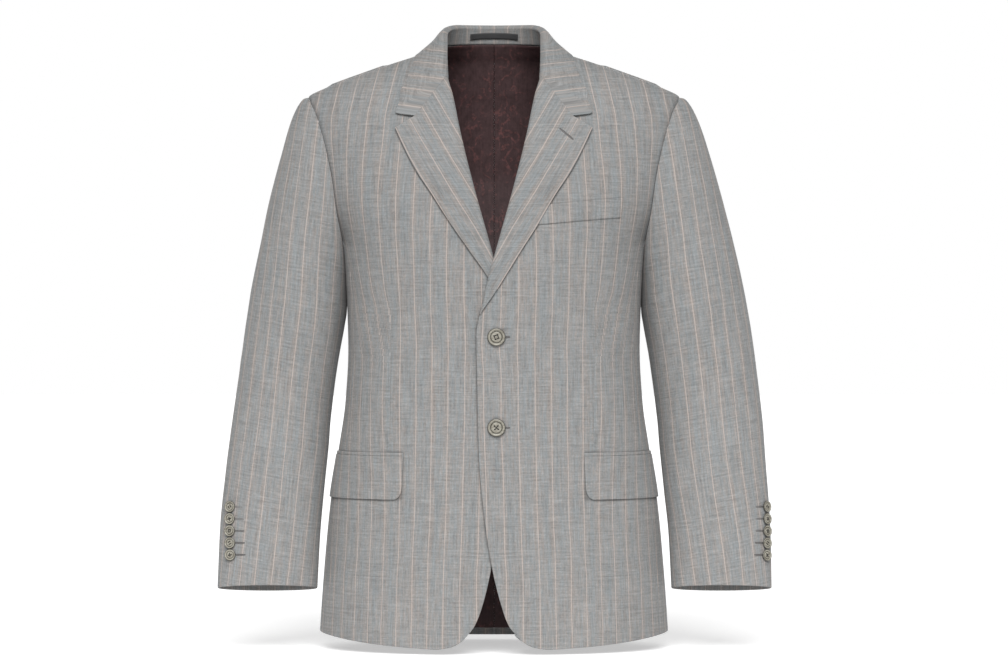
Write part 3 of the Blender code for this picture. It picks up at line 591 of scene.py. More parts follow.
def back_panel(inset, rise):
    """Place function of a back on the +X side, sunk by the inset, its hem raised by the rise."""
    meets = 360.0 - BACK_SEAM_AT
    rows = rows_of(BODY_ROWS, meets)
    centre = SEAM / 2
    neck_share = BACK_NECK_COLUMNS / BACK_COLUMNS

    @lru_cache(None)
    def left(v):
        row = v * rows
        if row <= BODY_ROWS:
            low = hem_height(180) + rise
            z = low + (BACK_ARMHOLE_LEVEL - low) * row_share(row)
        else:
            turn = meets - (row - BODY_ROWS) * ARMHOLE_STEP
            z = BACK_NECK - (BACK_NECK - BACK_ARMHOLE_LEVEL) * upper_share(turn, meets)
        return Vector((lean(centre, z), z))

    @lru_cache(None)
    def right(v):
        row = v * rows
        if row <= BODY_ROWS:
            angle, z = seam_point(BACK_SEAM_AT, BACK_SEAM_ANGLE, row_share(row), SEAM / 2, rise)
            point = skin_round(angle, z)
        else:
            point = armhole(BACK_SEAM_AT + (row - BODY_ROWS) * ARMHOLE_STEP)
        return as_lean(point)

    end = right(0)

    @lru_cache(None)
    def bottom(u):
        turn = lean(centre, 0.0) + (end[0] - lean(centre, 0.0)) * u
        z = hem_height(form_angle(body("side", HEM_SIDE) * math.sin(turn), HEM_SIDE)) + rise
        return Vector((turn, z + (end[1] - z) * (u == 1)))

    @lru_cache(None)
    def top(u):
        if u <= neck_share:
            x = centre + (NECK_POINT[0] - centre) * u / neck_share
            z = BACK_NECK_LINE.size("height", x)
        else:
            share = (u - neck_share) / (1 - neck_share)
            x = NECK_POINT[0] + (SHOULDER_TIP[0] - NECK_POINT[0]) * share
            z = shoulder_height(x)
        return Vector((lean(x, 0.0), z))

    def place(u, v):
        spot = patch((left, right, bottom, top), u, v)
        point = on_form(spot, BACK)
        return point - skin_normal(point) * inset

    return place, rows


def side_panel():
    """Place function of a side body on the +X side, from its front seam to its back seam."""
    @lru_cache(None)
    def left(v):
        share = row_share(v * BODY_ROWS)
        return Vector(seam_point(FRONT_SEAM_AT, FRONT_SEAM_ANGLE, share, SEAM / 2))

    @lru_cache(None)
    def right(v):
        share = row_share(v * BODY_ROWS)
        return Vector(seam_point(BACK_SEAM_AT, BACK_SEAM_ANGLE, share, -SEAM / 2))

    @lru_cache(None)
    def bottom(u):
        angle = left(0)[0] + (right(0)[0] - left(0)[0]) * u
        return Vector((angle, hem_height(angle)))

    @lru_cache(None)
    def top(u):
        turn = FRONT_SEAM_AT + (BACK_SEAM_AT - FRONT_SEAM_AT) * u
        return Vector((armhole_angle(turn), armhole_yz(turn)[1]))

    def place(u, v):
        spot = patch((left, right, bottom, top), u, v)
        return skin_round(spot[0], spot[1])

    return place


def sleeve_ring(turn, row):
    """Point of the plain sleeve tube at a turn from its outer edge towards the front."""
    outer = Vector((SLEEVE.at("out_x", row), 0, SLEEVE.at("out_z", row))) * MM
    inner = Vector((SLEEVE.at("in_x", row), 0, SLEEVE.at("in_z", row))) * MM
    depth = SLEEVE.at("depth", row) * MM
    forward = -depth * math.sin(math.radians(turn))
    centre = (outer + inner) / 2
    point = centre + (outer - inner) / 2 * math.cos(math.radians(turn))
    point.y = SLEEVE.at("middle", row) * MM + forward
    point.z -= SLEEVE.at("pitch", row) * forward
    return point


def sleeve_point(turn, row):
    """The sleeve tube, led from the armhole into its plain rings."""
    lead = 1 - ease(row / SLEEVE_BLEND_ROWS)
    point = sleeve_ring(turn, row)
    if lead > 0:
        point = point + (armhole(turn) - sleeve_ring(turn, 0)) * lead
    return point


def sleeve_start(turn, row):
    """The sleeve tube with its first ring drawn back from the armhole seam by the seam gap."""
    point = sleeve_point(turn, row)
    if row < 1:
        ahead = (sleeve_point(turn, 1) - sleeve_point(turn, 0)).normalized()
        away = Vector((1.0, 0.0, 0.0)) * ease((turn_from_tip(turn) - 60) / 80)
        point = point + (ahead + away).normalized() * SLEEVE_DRAWN_BACK * (1 - row)
    return point


def turn_from_tip(turn):
    turn = turn % 360
    return min(turn, 360 - turn)


def sleeve_piece(top):
    """Place function of a top or under sleeve; rows run down from the armhole to the cuff."""
    def place(u, v):
        row = v * SLEEVE_ROWS
        back = SLEEVE_BACK_SEAM.at("angle", row)
        gap = math.degrees(SEAM / 2 / SLEEVE_RADIUS)
        if top:
            start, end = back + gap, SLEEVE_FRONT_SEAM_AT - gap
        else:
            start, end = SLEEVE_FRONT_SEAM_AT + gap, back + 360 - gap
        return sleeve_start(start + (end - start) * u, row)

    return place


def collar_guides(station):
    """Seam, fold and outer edge of the collar on the +X side at a station from the centre back."""
    z = COLLAR.at("seam_z", station) * MM
    if station <= COLLAR_RIDGE:
        for _ in range(12):
            seam = skin_round(COLLAR.at("seam_turn", station), z)
            z = (z + BACK_NECK_LINE.size("height", seam.x)) / 2
    else:
        seam = skin(front_edge("over", z), z, FRONT)
    fold = Vector([COLLAR.at(name, station) * MM for name in ("fold_x", "fold_y", "fold_z")])
    edge = skin_round(COLLAR.at("edge_turn", station), COLLAR.at("edge_z", station) * MM)
    return seam, fold, edge


@lru_cache(None)
def collar_across(station):
    """Points across the collar at a station: up the stand, over the fold and down the fall."""
    seam, fold, edge = collar_guides(station)
    rest = ease((station - COLLAR_RIDGE) / (COLLAR_END - COLLAR_RIDGE))
    edge_normal = skin_normal(edge)
    out = edge - fold
    out.z *= 0.3 * rest
    out.normalize()
    inwards = fold - seam
    inwards.z = 0
    inwards = inwards.normalized() if inwards.length > 0.2 * MM else -out
    base = seam + inwards * STAND_INSET + UP * STAND_RISE
    rise = UP.lerp(edge_normal, rest).normalized()
    base = base.lerp(fold - rise * STAND_END, ease((station - COLLAR_RIDGE) / STAND_RUNS_OUT))
    under_fold = fold + (base - fold) * min(0.5, FOLD_STARTS / (base - fold).length)
    extra = BACK_TURN_EXTRA * (1 - rest)
    turn_top = fold + out * (TURN_OUT + extra) + rise * (TURN_RISE + extra * 2 / 3)
    outer = edge + edge_normal * EDGE_LIFT
    middle = (turn_top + outer) / 2 + (rise + edge_normal).normalized() * FALL_BULGE
    return base, under_fold, fold, turn_top, middle, outer


def through(points, t):
    """Smooth line through a few points, at 0 on the first, 1 on the second and so on."""
    last = len(points) - 1
    i = min(int(clamp(t, 0, last)), last - 1)
    s = clamp(t, 0, last) - i
    a, b = points[i], points[i + 1]
    leave = bend(points[i - 1], a, b) * (b - a).length if i else b - a
    arrive = bend(a, b, points[i + 2]) * (b - a).length if i + 2 <= last else b - a
    return (a * ((1 + 2 * s) * (1 - s) ** 2) + leave * (s * (1 - s) ** 2)
            + b * (s * s * (3 - 2 * s)) + arrive * (s * s * (s - 1)))


def bend(before, point, after):
    """Direction of a smooth line at a point, weighed by the length of the stretches beside it."""
    back = point - before
    ahead = after - point
    return (ahead / ahead.length * back.length + back / back.length * ahead.length) / (
        back.length + ahead.length)


def collar_face(station, across):
    """Point across the collar at a station, its fall kept clear of the form."""
    point = through(collar_across(station), across)
    if across > 3:
        lift = TURNED_LIFT + (EDGE_LIFT - TURNED_LIFT) * ease((across - 3.9) / 1.1)
        point = lifted_clear(point, lift * ease((across - 3) / 0.8))
    return point


def collar_point(station, across):
    """Visible face of the collar: stations run to the wearer's left, across goes from 0 at the
    neck seam over the fold at 2 and 3 to the outer edge at 5."""
    point = collar_face(abs(station), across)
    if abs(station) > GORGE_BLEND_FROM:
        share = ease((abs(station) - GORGE_BLEND_FROM) / (COLLAR_END - GORGE_BLEND_FROM))
        point = point + gorge_shift(max(across, 2.0)) * share
    point.x = math.copysign(point.x, station)
    return point


@lru_cache(None)
def gorge_shift(across):
    """How far the end of the collar moves to lie edge to edge with the top of the lapel."""
    place, columns = lapel_piece(True)
    column = follow(GORGE_ACROSS, GORGE_COLUMNS, across, 0.0)
    return place(column / columns, 1.0) + UP * SEAM - collar_face(COLLAR_END, across)


def between(stops, share):
    """Value at a share of the way along a list of stops."""
    at = clamp(share, 0.0, 1.0) * (len(stops) - 1)
    i = min(int(at), len(stops) - 2)
    return stops[i] + (stops[i + 1] - stops[i]) * (at - i)


def lapel_piece(over):
    """Place function of a turned lapel on the +X side, rows up from the break to the gorge."""
    side = "over" if over else "under"
    low = LAPEL_BREAK[side]

    def roll(v):
        z = low + (GORGE_TOP - SEAM - low) * v
        return Vector((front_edge(side, z), z))

    def outer(v):
        z = low + (LAPEL_POINT_HEIGHT - low) * v
        return Vector((LAPEL_EDGE.size(side, z), z))

    @lru_cache(None)
    def bottom(u):
        return roll(0).lerp(outer(0), u)

    @lru_cache(None)
    def top(u):
        notch = Vector(LAPEL_NOTCH)
        share = (LAPEL_COLUMNS - 2) / LAPEL_COLUMNS
        if u <= share:
            return roll(1).lerp(notch, u / share)
        return notch.lerp(outer(1), (u - share) / (1 - share))

    def leaf(u, v):
        spot = patch((roll, outer, bottom, top), u, v)
        point = skin(spot[0], spot[1], FRONT)
        normal = skin_normal(point)
        sink = 0.0 if over else sink_of_under_front(point.x, point.z)
        return point - normal * sink, normal

    columns = LAPEL_COLUMNS + TURN_COLUMNS

    @lru_cache(None)
    def turn_of(v):
        """Directions and sizes of the lapel's turn over its roll line; at the break it is flat."""
        root, normal = leaf(0, v)
        up = leaf(0, min(v + 0.02, 1.0))[0] - leaf(0, max(v - 0.02, 0.0))[0]
        out = up.cross(normal).normalized()
        along = (leaf(0.2, v)[0] - root).normalized()
        width = (leaf(1, v)[0] - root).length
        opened = max(ease((root.z - ROLL_START) / ROLL_BLEND), 0.08) if over else 1.0
        edge = root - out * TURN_OUT * opened
        height = root + normal * (FLAT_RISE + (TURN_RISE - FLAT_RISE) * opened)
        inside = edge - normal * TURN_INSIDE * opened + normal * FLAT_RISE * (1 - opened)
        edge = edge + normal * FLAT_RISE * (1 - opened)
        lead = min(TURN_LEAD, width / 3)
        return inside, edge, height, height + along * lead, lead / width

    def place(u, v):
        column = u * columns
        inside, edge, height, ahead, start = turn_of(v)
        if column <= TURN_COLUMNS:
            return through((inside, edge, height, ahead), column)
        share = (column - TURN_COLUMNS) / LAPEL_COLUMNS
        point, normal = leaf(start + (1 - start) * share, v)
        upper = ease((point.z / MM - LAPEL_LIFT_LOW) / LAPEL_LIFT_BLEND)
        lift = LOW_LAPEL_LIFT + (TURNED_LIFT - LOW_LAPEL_LIFT) * upper
        lift += (LAPEL_EDGE_LIFT - TURNED_LIFT) * ease((share - 0.7) / 0.3) * upper
        begin = (ahead - leaf(start, v)[0]).dot(normal)
        return point + normal * (begin + (lift - begin) * ease(share * 2))

    return place, columns


def front_edge(side, z):
    """The front edge, drawn back along the roll line by the cloth that turns round it."""
    turned = (ease((z - ROLL_START) / ROLL_BLEND)
              * ease((GORGE_TOP + GORGE_BLEND - z) / GORGE_BLEND))
    return FRONT_EDGE.size(side, z) + ROLL_TURN * turned


def flap_place(u, v):
    """Pocket flap on the form: u from its front edge to its rear edge, v from bottom to top."""
    z = FLAP_BOTTOM + (JET_BOTTOM - SEAM - FLAP_BOTTOM) * v
    front = form_angle(FLAP_FRONT_X + FLAP_SLANT * (1 - v), z)
    corner = max(1 - (z - FLAP_BOTTOM) / FLAP_CORNER, 0.0)
    angle = front + (FLAP_REAR_ANGLE - front) * u
    reach = body("side", z) * math.radians(angle - front)
    missing = FLAP_CORNER_DEPTH * (1 - math.sqrt(max(1 - corner ** 2, 0.0)))
    angle += math.degrees(missing / body("side", z)) * max(1 - reach / FLAP_CORNER_SPREAD, 0.0)
    point = skin_round(angle, z)
    return point, skin_normal(point)


def jet_place(u, v):
    z = JET_BOTTOM + (JET_TOP - JET_BOTTOM) * v
    front = form_angle(FLAP_FRONT_X, z)
    point = skin_round(front + (FLAP_REAR_ANGLE - front) * u, z)
    return point, skin_normal(point)


def welt_place(u, v):
    """Breast welt: a slanting band, u outwards and v up."""
    low = Vector(WELT_LOW[0]).lerp(Vector(WELT_LOW[1]), u)
    high = Vector(WELT_HIGH[0]).lerp(Vector(WELT_HIGH[1]), u)
    spot = low.lerp(high, v) * MM
    point = skin(spot[0], spot[1], FRONT)
    return point, skin_normal(point)


def loop_place(u, v):
    """Hanger loop on the stand: u across the back of the neck, v up."""
    station = (u * 2 - 1) * LOOP_REACH
    bow = LOOP_BOW * (1 - (u * 2 - 1) ** 2)
    across = LOOP_LOW + bow + LOOP_TALL * v
    step = 0.02
    ahead = collar_point(station + step, across) - collar_point(station - step, across)
    up = collar_point(station, across + step) - collar_point(station, across - step)
    return collar_point(station, across), ahead.cross(up).normalized()


def sleeve_row_at(height):
    """Row of the sleeve at which its button line comes to a height."""
    return turning_point(10.0, SLEEVE_ROWS, 30,
                         lambda row: sleeve_point(CUFF_BUTTON_TURN, row).z > height)


# how far out the edges of each sleeve hang beyond the plain form, by row
SLEEVE_HANG = Table("row left_outer left_inner right_outer right_inner", [
    (0, 0, 0, 0, 0),
    (3, 0.8, 0, -0.8, 0),
    (5, 2, 0, -2, 0),
    (7, 2.5, 0, -3, 0),
    (8, 4.2, 0, -3.8, 0),
    (9, 5, 0, -4, 0),
    (10, 5.5, -1, -4.8, -0.5),
    (11, 4.5, -1.2, -6, -1),
    (12, 3.2, -2, -5.6, -2.2),
    (13, 0.8, -2.3, -4.6, -2.5),
    (14, 0.6, -1.3, -2.7, -2.5),
    (15, -0.8, -1.3, -2.5, -2.5),
])


def hung(point, name, row):
    """A point of the sleeve where it really hangs: the two sleeves differ a little."""
    inner, outer = SLEEVE.at("in_x", row) * MM, SLEEVE.at("out_x", row) * MM
    share = clamp((point.x - inner) / (outer - inner), 0.0, 1.0)
    inward, outward = SLEEVE_HANG.at(f"{name}_inner", row), SLEEVE_HANG.at(f"{name}_outer", row)
    return point + Vector(((inward + (outward - inward) * share) * MM, 0.0, 0.0))


def sleeve_seat(turn, row, name):
    """Point and outward direction of a sleeve at a turn and row."""
    def at(turn, row):
        return hung(sleeve_point(turn, row), name, row)

    ahead = at(turn + 1, row) - at(turn - 1, row)
    down = at(turn, row + 0.05) - at(turn, row - 0.05)
    facing = ahead.cross(down).normalized()
    return at(turn, row), facing if facing.y < 0 else -facing


# ---- stripes: where they lie on the cloth, as labels one pitch apart

PITCH = 21.6 * MM

# how far out from the centre the stripes of a front lie, by height
FRONT_STRIPES = Table("height one three five six seven eight nine", [
    (-722, 15.2, 57.7, 97.2, 116.6, 135.7, 152.8, 169.7),
    (-698, 15.7, 57.3, 96.5, 115.5, 134.7, 152.1, 168.4),
    (-661, 15.9, 56.8, 96.3, 115.2, 133.7, 151.1, 167.6),
    (-623, 13.6, 55.8, 95.5, 112.8, 132.1, 149.8, 165.0),
    (-586, 13.1, 54.2, 93.3, 112.4, 130.8, 147.8, 164.5),
    (-537, 12.0, 53.0, 92.6, 110.4, 131.4, 148.3, 164.0),
    (-487, 10.1, 52.1, 91.7, 110.9, 133.4, 150.0, 164.9),
    (-450, 9.1, 51.3, 91.1, 110.7, 134.6, 150.5, 164.2),
    (-413, 9.2, 51.3, 91.5, 110.8, 134.0, 149.4, 162.2),
    (-369, 6.9, 51.2, 90.7, 110.6, 131.0, 145.8, 159.3),
    (-326, 9.1, 52.2, 92.7, 112.1, 127.4, 143.0, 157.5),
    (-301, 9.3, 53.0, 93.3, 113.0, 131.4, 148.3, 162.0),
    (-266, 9.0, 53.0, 93.8, 114.1, 134.6, 152.9, 167.9),
    (-226, 8.0, 52.0, 94.6, 116.1, 137.4, 156.5, 173.7),
    (-189, 5.0, 49.5, 93.2, 115.5, 138.8, 159.1, 178.5),
    (-151, 2.0, 47.0, 91.0, 113.2, 136.4, 158.3, 179.7),
    (-126, 0.0, 45.0, 89.5, 111.5, 133.2, 155.9, 178.6),
    (-101, -2.0, 43.0, 87.0, 109.0, 131.0, 153.4, 176.7),
    (-82, -5.0, 40.0, 84.5, 107.0, 129.2, 151.6, 174.7),
    (-60, -9.5, 35.5, 80, 102.5, 124.7, 147.1, 170.2),
    (-38, -14, 31, 75.5, 98, 120.2, 142.6, 165.7),
    (0, -22, 23, 67.5, 90, 112, 134.5, 157.5),
])
FRONT_LABELS = {"one": 1, "three": 3, "five": 5, "six": 6, "seven": 7, "eight": 8, "nine": 9}
UNDER_FRONT_SHIFT = 0.27
GIRTH_STEP = 5
STRIPES_ABREAST = 22.5 * MM

# turns of the sleeve's stripes, by row
SLEEVE_STRIPES = Table("row rear outer middle inner fifth fourth", [
    (0, 112, 79, 52, 27, 5, -18),
    (1.5, 120, 88.2, 62.8, 38.2, 17, -5),
    (3, 128, 97.3, 73.2, 50, 30, 9),
    (4.5, 133, 103.2, 81.8, 60, 40.5, 21),
    (6, 134, 107.9, 86.5, 66.8, 47.5, 29),
    (8, 135, 112.1, 91.6, 72, 54.4, 37),
    (10, 136.5, 114.9, 95.2, 76.8, 60.5, 43.4),
    (12, 137.9, 115.7, 96.1, 78.2, 61.7, 44.1),
    (13.5, 132.7, 112.4, 93.8, 74.3, 57.7, 40.3),
    (14.6, 125.5, 106.7, 87.2, 67.6, 50.6, 32),
    (15, 122.5, 104, 84.5, 65.5, 47, 28),
])
# how far out the stripes of a lapel lie, by height; the first one runs along its outer edge
LAPEL_STRIPES = Table("height zero one two three", [
    (-300, 4, -22, -46, -68),
    (-262, 27, 1.5, -24, -47),
    (-224, 51, 23, -1, -25),
    (-184, 74.8, 48.4, 24, -1),
    (-156, 92.5, 65, 41, 16),
    (-129, 107.5, 81.1, 57.5, 32),
    (-104, 119.5, 95.5, 72, 46.3),
    (-83, 129.5, 107.3, 83.6, 58.5),
    (-58, 141, 121, 97.5, 72.8),
    (-35, 152, 134, 110, 86),
])
LAPEL_STRIPES_APART = 23 * MM
LAPEL_GRAIN_STRETCH = 1.17
# how far the stripes of the right sleeve are shifted, in pitches, by row
RIGHT_SLEEVE_SHIFT = Table("row shift", [
    (0, 0.3), (3.5, 0.12), (7, 0.07), (9.1, -0.13),
    (10.7, -0.14), (12.5, -0.22), (14.5, -0.52), (15, -0.56),
])
SLEEVE_LABELS = {"fourth": -4, "fifth": -3, "inner": -2, "middle": -1, "outer": 0, "rear": 1}
# degrees from stripe to stripe beyond the table; the row that leads those of the sleeve's back;
# and the slant of the sleeve's length, seen from the front
SLEEVE_STRIPE_TURN = 18.5
SLEEVE_BACK_ROW = 7
SLEEVE_SLANT = (0.19, 0.98)

# darts of the fronts, by height and distance out: the cloth beyond is one stripe further in from
# the full height down; a dart lies at this share of the piece's columns
DART = {LEFT: ((-307.0, 128.4), (-500.0, 124.0)), RIGHT: ((-313.0, 127.9), (-500.0, 130.3))}
DART_FULL = -400.0
DART_AT = 0.7


def follow(stops, values, at, slope):
    """Value at a place between stops, going on beyond both ends with a slope."""
    if at <= stops[0]:
        return values[0] + (at - stops[0]) * slope
    for a, b, low, high in zip(stops, stops[1:], values, values[1:]):
        if at <= b:
            return low + (high - low) * (at - a) / (b - a)
    return values[-1] + (at - stops[-1]) * slope


@lru_cache(None)
def girth_marks(level, face):
    """Lengths round the body form at a height in millimetres, at each degree from its middle."""
    z = level * MM
    depth = depth_of(face, z)
    side = body("side", z)
    marks = [0.0]
    for degree in range(90):
        a, b = math.radians(degree), math.radians(degree + 1)
        out = side * (math.sin(b) ** (2 / SQUARENESS) - math.sin(a) ** (2 / SQUARENESS))
        marks.append(marks[-1] + math.hypot(out, depth * (math.cos(a) - math.cos(b))))
    return marks


def girth(x, z, face):
    """Length round the body form from its middle line out to x, at a height."""
    across = clamp(abs(x) / body("side", z), 0.0, 1.0)
    angle = clamp(math.degrees(math.asin(across ** (SQUARENESS / 2))), 0.0, 89.999)
    degree = int(angle)
    level = z / MM / GIRTH_STEP
    low = math.floor(level)
    lengths = []
    for step in (low, low + 1):
        marks = girth_marks(step * GIRTH_STEP, face)
        lengths.append(marks[degree] + (marks[degree + 1] - marks[degree]) * (angle - degree))
    return math.copysign(lengths[0] + (lengths[1] - lengths[0]) * (level - low), x)


def beyond(x, start, z, face):
    """Stripes between two distances from the centre, counted round the form, and straight across
    at the shoulders."""
    low = min(z, -100 * MM)
    round_form = (girth(x, low, face) - girth(start, low, face)) / PITCH
    straight = (x - start) / STRIPES_ABREAST
    return round_form + (straight - round_form) * ease((z / MM + 160) / 80)


@lru_cache(None)
def stripe_places(level):
    return [FRONT_STRIPES.at(name, level) * MM for name in FRONT_LABELS]


def front_label(x, z):
    places = stripe_places(z / MM)
    labels = list(FRONT_LABELS.values())
    if x > places[-1]:
        return labels[-1] + beyond(x, places[-1], z, FRONT)
    return follow(places, labels, x, 1 / PITCH)


def front_grain(point, side=LEFT):
    """Place of the front's cloth at a point, across and along its stripes."""
    shift = UNDER_FRONT_SHIFT if side == RIGHT else 0.0
    return ((front_label(point.x, point.z) - shift) * PITCH, -point.z)


def back_grain(point):
    across = 0.5 + beyond(point.x, 0.0, point.z, BACK)
    return across * PITCH, -point.z


def side_grain(point):
    quarter = girth(1.0, point.z, FRONT)
    if point.y < body("middle", point.z):
        return girth(point.x, point.z, FRONT), -point.z
    return quarter + girth(1.0, point.z, BACK) - girth(point.x, point.z, BACK), -point.z


@lru_cache(None)
def sleeve_stripes(row):
    return [SLEEVE_STRIPES.at(name, row) for name in SLEEVE_LABELS]


def sleeve_grain(turn, row, shift, point):
    """The sleeve's stripes; round its back they keep to its length, also near the armhole."""
    back = ease(max(-turn, turn - 180, 0.0) / 40)
    places = sleeve_stripes(row + max(SLEEVE_BACK_ROW - row, 0.0) * back)
    label = follow(places, list(SLEEVE_LABELS.values()), turn, 1 / SLEEVE_STRIPE_TURN)
    along = abs(point.x) * SLEEVE_SLANT[0] - point.z * SLEEVE_SLANT[1]
    return (label + shift) * PITCH, along


def lapel_grain(point):
    """The lapel's stripes run nearly along its outer edge."""
    names = ("three", "two", "one", "zero")
    places = [LAPEL_STRIPES.at(name, point.z / MM) * MM for name in names]
    label = follow(places, (-3, -2, -1, 0), point.x, 1 / LAPEL_STRIPES_APART)
    return -label * PITCH, point.z * LAPEL_GRAIN_STRETCH


# ---- laying cloth

RIM_STEPS = (0.4, 0.9, 1.8, 3.4, 5.6)
RIM_ROUND = ((0.0, 0.55), (0.4, 0.2), (0.9, 0.04), (1.8, 0.0))
CELL = 6.0 * MM
LEAST_STEP = 0.05 * MM

# breadth and length of each kind of piece in millimetres, by which its cloth is cut up
SIZES = {
    "front": (215, 770),
    "side": (110, 490),
    "back": (205, 750),
    "lining_back": (205, 740),
    "top_sleeve": (262, 620),
    "under_sleeve": (150, 620),
    "lapel": (90, 300),
    "collar": (400, 80),
    "pocket_flap": (86, 54),
    "pocket_jet": (86, 4.4),
    "breast_welt": (103, 25),
    "hanger_loop": (60, 8),
}


def stops(length, *lines, cell=CELL):
    """Shares of a length at which cloth is cut up: close together beside its ends and its lines."""
    marks = [0.0, *(line * length for line in lines), length]
    places = {0.0, length}
    for a, b in zip(marks, marks[1:]):
        near = [step * MM for step in RIM_STEPS if step * MM < (b - a) / 2.2]
        inner = near[-1] if near else 0.0
        count = max(round((b - a - 2 * inner) / cell), 1)
        places.update([a, b, *(a + step for step in near), *(b - step for step in near)])
        places.update(a + inner + (b - a - 2 * inner) * i / count for i in range(count + 1))
    kept = []
    for place in sorted(places):
        if not kept or place - kept[-1] > LEAST_STEP:
            kept.append(place)
    return [place / length for place in kept]


def rim_drop(distance):
    """How far a cloth's face is rounded down at a distance in metres from its edge."""
    at = distance / MM
    if at >= RIM_ROUND[-1][0]:
        return 0.0
    return follow([d for d, _ in RIM_ROUND], [drop for _, drop in RIM_ROUND], at, 0.0) * MM


def cloth(kind, name, place, finishes, grain, us=None, vs=None, cells=(CELL, CELL), side=LEFT,
          thickness=CLOTH, outward=1, relief=None, inside=None, jump=None,
          soft_ends=(1, 1, 1, 1), shade=None, ending="cloth"):
    """A wall of cloth laid by a place function, with rounded rims, its stripes in its own map.

    us and vs are the shares of its breadth and length at which it is cut up; relief(u, v, point)
    raises its outer face; inside(u, v, point) is true where its inner face is of the second
    finish; jump(u, v, point) adds to the stripes' place; soft_ends tells how much its left, right,
    bottom and top rims are rounded; shade(u, v, point) gives its nearness to an edge that lies on
    it and how deep in a hollow it is, both from 0 to 1, which set the painted shade in its colour."""
    node = f"{kind}_{name}" if name else kind
    breadth, length = (size * MM for size in SIZES[kind])
    us = us or stops(breadth, cell=cells[0])
    vs = vs or stops(length, cell=cells[1])
    bm = bmesh.new()
    columns, rows = len(us) - 1, len(vs) - 1
    bmesh.ops.create_grid(bm, x_segments=columns, y_segments=rows, size=0.5)
    bm.verts.ensure_lookup_table()
    grain_kept = bm.verts.layers.float_vector.new("grain")
    away_kept = bm.verts.layers.float_vector.new("away")
    shade_kept = bm.verts.layers.float_vector.new("shade")
    second = bm.faces.layers.int.new("second")
    moved = bm.faces.layers.float.new("moved")
    spots = [(us[round((vert.co.x + 0.5) * columns)], vs[round((vert.co.y + 0.5) * rows)])
             for vert in bm.verts]
    for vert, (u, v) in zip(bm.verts, spots):
        vert.co = place(u, v)
    for face in bm.faces:
        corners = [spots[vert.index] for vert in face.verts]
        u, v = (sum(shares) / len(corners) for shares in zip(*corners))
        centre = face.calc_center_median()
        face[second] = 1 if inside and inside(u, v, centre) else 0
        face[moved] = jump(u, v, centre) if jump else 0.0
    bm.normal_update()
    for vert, (u, v) in zip(bm.verts, spots):
        rims = zip((u * breadth, (1 - u) * breadth, v * length, (1 - v) * length), soft_ends)
        drop = max(rim_drop(distance) * share for distance, share in rims)
        rise = relief(u, v, vert.co) if relief else 0.0
        vert[grain_kept] = (*grain(u, v, vert.co), drop)
        vert[away_kept] = vert.normal * outward
        vert[shade_kept] = (*(shade(u, v, vert.co) if shade else (0.0, 0.0)), 0.0)
        vert.co = vert.co + vert.normal * outward * (rise - drop)
    grown = bmesh.ops.extrude_face_region(bm, geom=bm.faces[:], use_keep_orig=True)
    copies = [item for item in grown["geom"] if isinstance(item, bmesh.types.BMVert)]
    backs = [item for item in grown["geom"] if isinstance(item, bmesh.types.BMFace)]
    for vert in copies:
        drop = vert[grain_kept].z
        vert.co = vert.co + vert[away_kept] * (drop + min(drop * 0.6, thickness / 3) - thickness)
    for face in backs:
        face.material_index = face[second]
    turn_outward(bm)
    grain_map = bm.loops.layers.uv.new("grain")
    shade_map = bm.loops.layers.uv.new("shade")
    for face in bm.faces:
        for loop in face.loops:
            across, along, _ = loop.vert[grain_kept]
            loop[grain_map].uv = (across + face[moved], along)
            loop[shade_map].uv = loop.vert[shade_kept][:2]
    if side == RIGHT:
        for vert in bm.verts:
            vert.co.x = -vert.co.x
        bmesh.ops.reverse_faces(bm, faces=bm.faces)
    piece = finished(f"{node}_{ending}", bm, finishes)
    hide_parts(node)
    return piece


def turn_outward(bm):
    bmesh.ops.recalc_face_normals(bm, faces=bm.faces)
    if bm.calc_volume(signed=True) < 0:
        bmesh.ops.reverse_faces(bm, faces=bm.faces)


def mesh_of(name, bm):
    mesh = bpy.data.meshes.new(name)
    bm.to_mesh(mesh)
    bm.free()
    return mesh


def added(name, data):
    """A new object in the scene."""
    item = bpy.data.objects.new(name, data)
    bpy.context.scene.collection.objects.link(item)
    return item


def finished(name, bm, finishes, sharp=50):
    """A piece of the body, smooth but for edges sharper than an angle in degrees."""
    mesh = mesh_of(name, bm)
    mesh.shade_smooth()
    mesh.set_sharp_from_angle(angle=math.radians(sharp))
    for finish in finishes:
        mesh.materials.append(finish)
    piece = added(name, mesh)
    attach(piece, "root")
    return piece


# ---- finishes

class Signal:
    """A number or colour in a finish's nodes, so that sums read as plain arithmetic."""

    def __init__(self, recipe, socket):
        self.recipe = recipe
        self.socket = socket

    def apply(self, operation, *others):
        return self.recipe.node("ShaderNodeMath", {"operation": operation}, [self, *others])

    def __add__(self, other):
        return self.apply("ADD", other)

    def __mul__(self, other):
        return self.apply("MULTIPLY", other)

    def __sub__(self, other):
        return self.apply("SUBTRACT", other)

    def __truediv__(self, other):
        return self.apply("DIVIDE", other)

    def __rsub__(self, other):
        return self * -1.0 + other

    __radd__ = __add__
    __rmul__ = __mul__

    def between(self, low, high):
        """0 at the low value and 1 at the high one, with soft ends."""
        return self.recipe.node("ShaderNodeMapRange", {"interpolation_type": "SMOOTHSTEP"},
                                {"Value": self, "From Min": low, "From Max": high})

    def from_middle(self, pitch):
        """Distance from the middle of the nearest of a row of lines one pitch apart."""
        return ((self / pitch + 0.5).apply("FRACT") - 0.5).apply("ABSOLUTE") * pitch


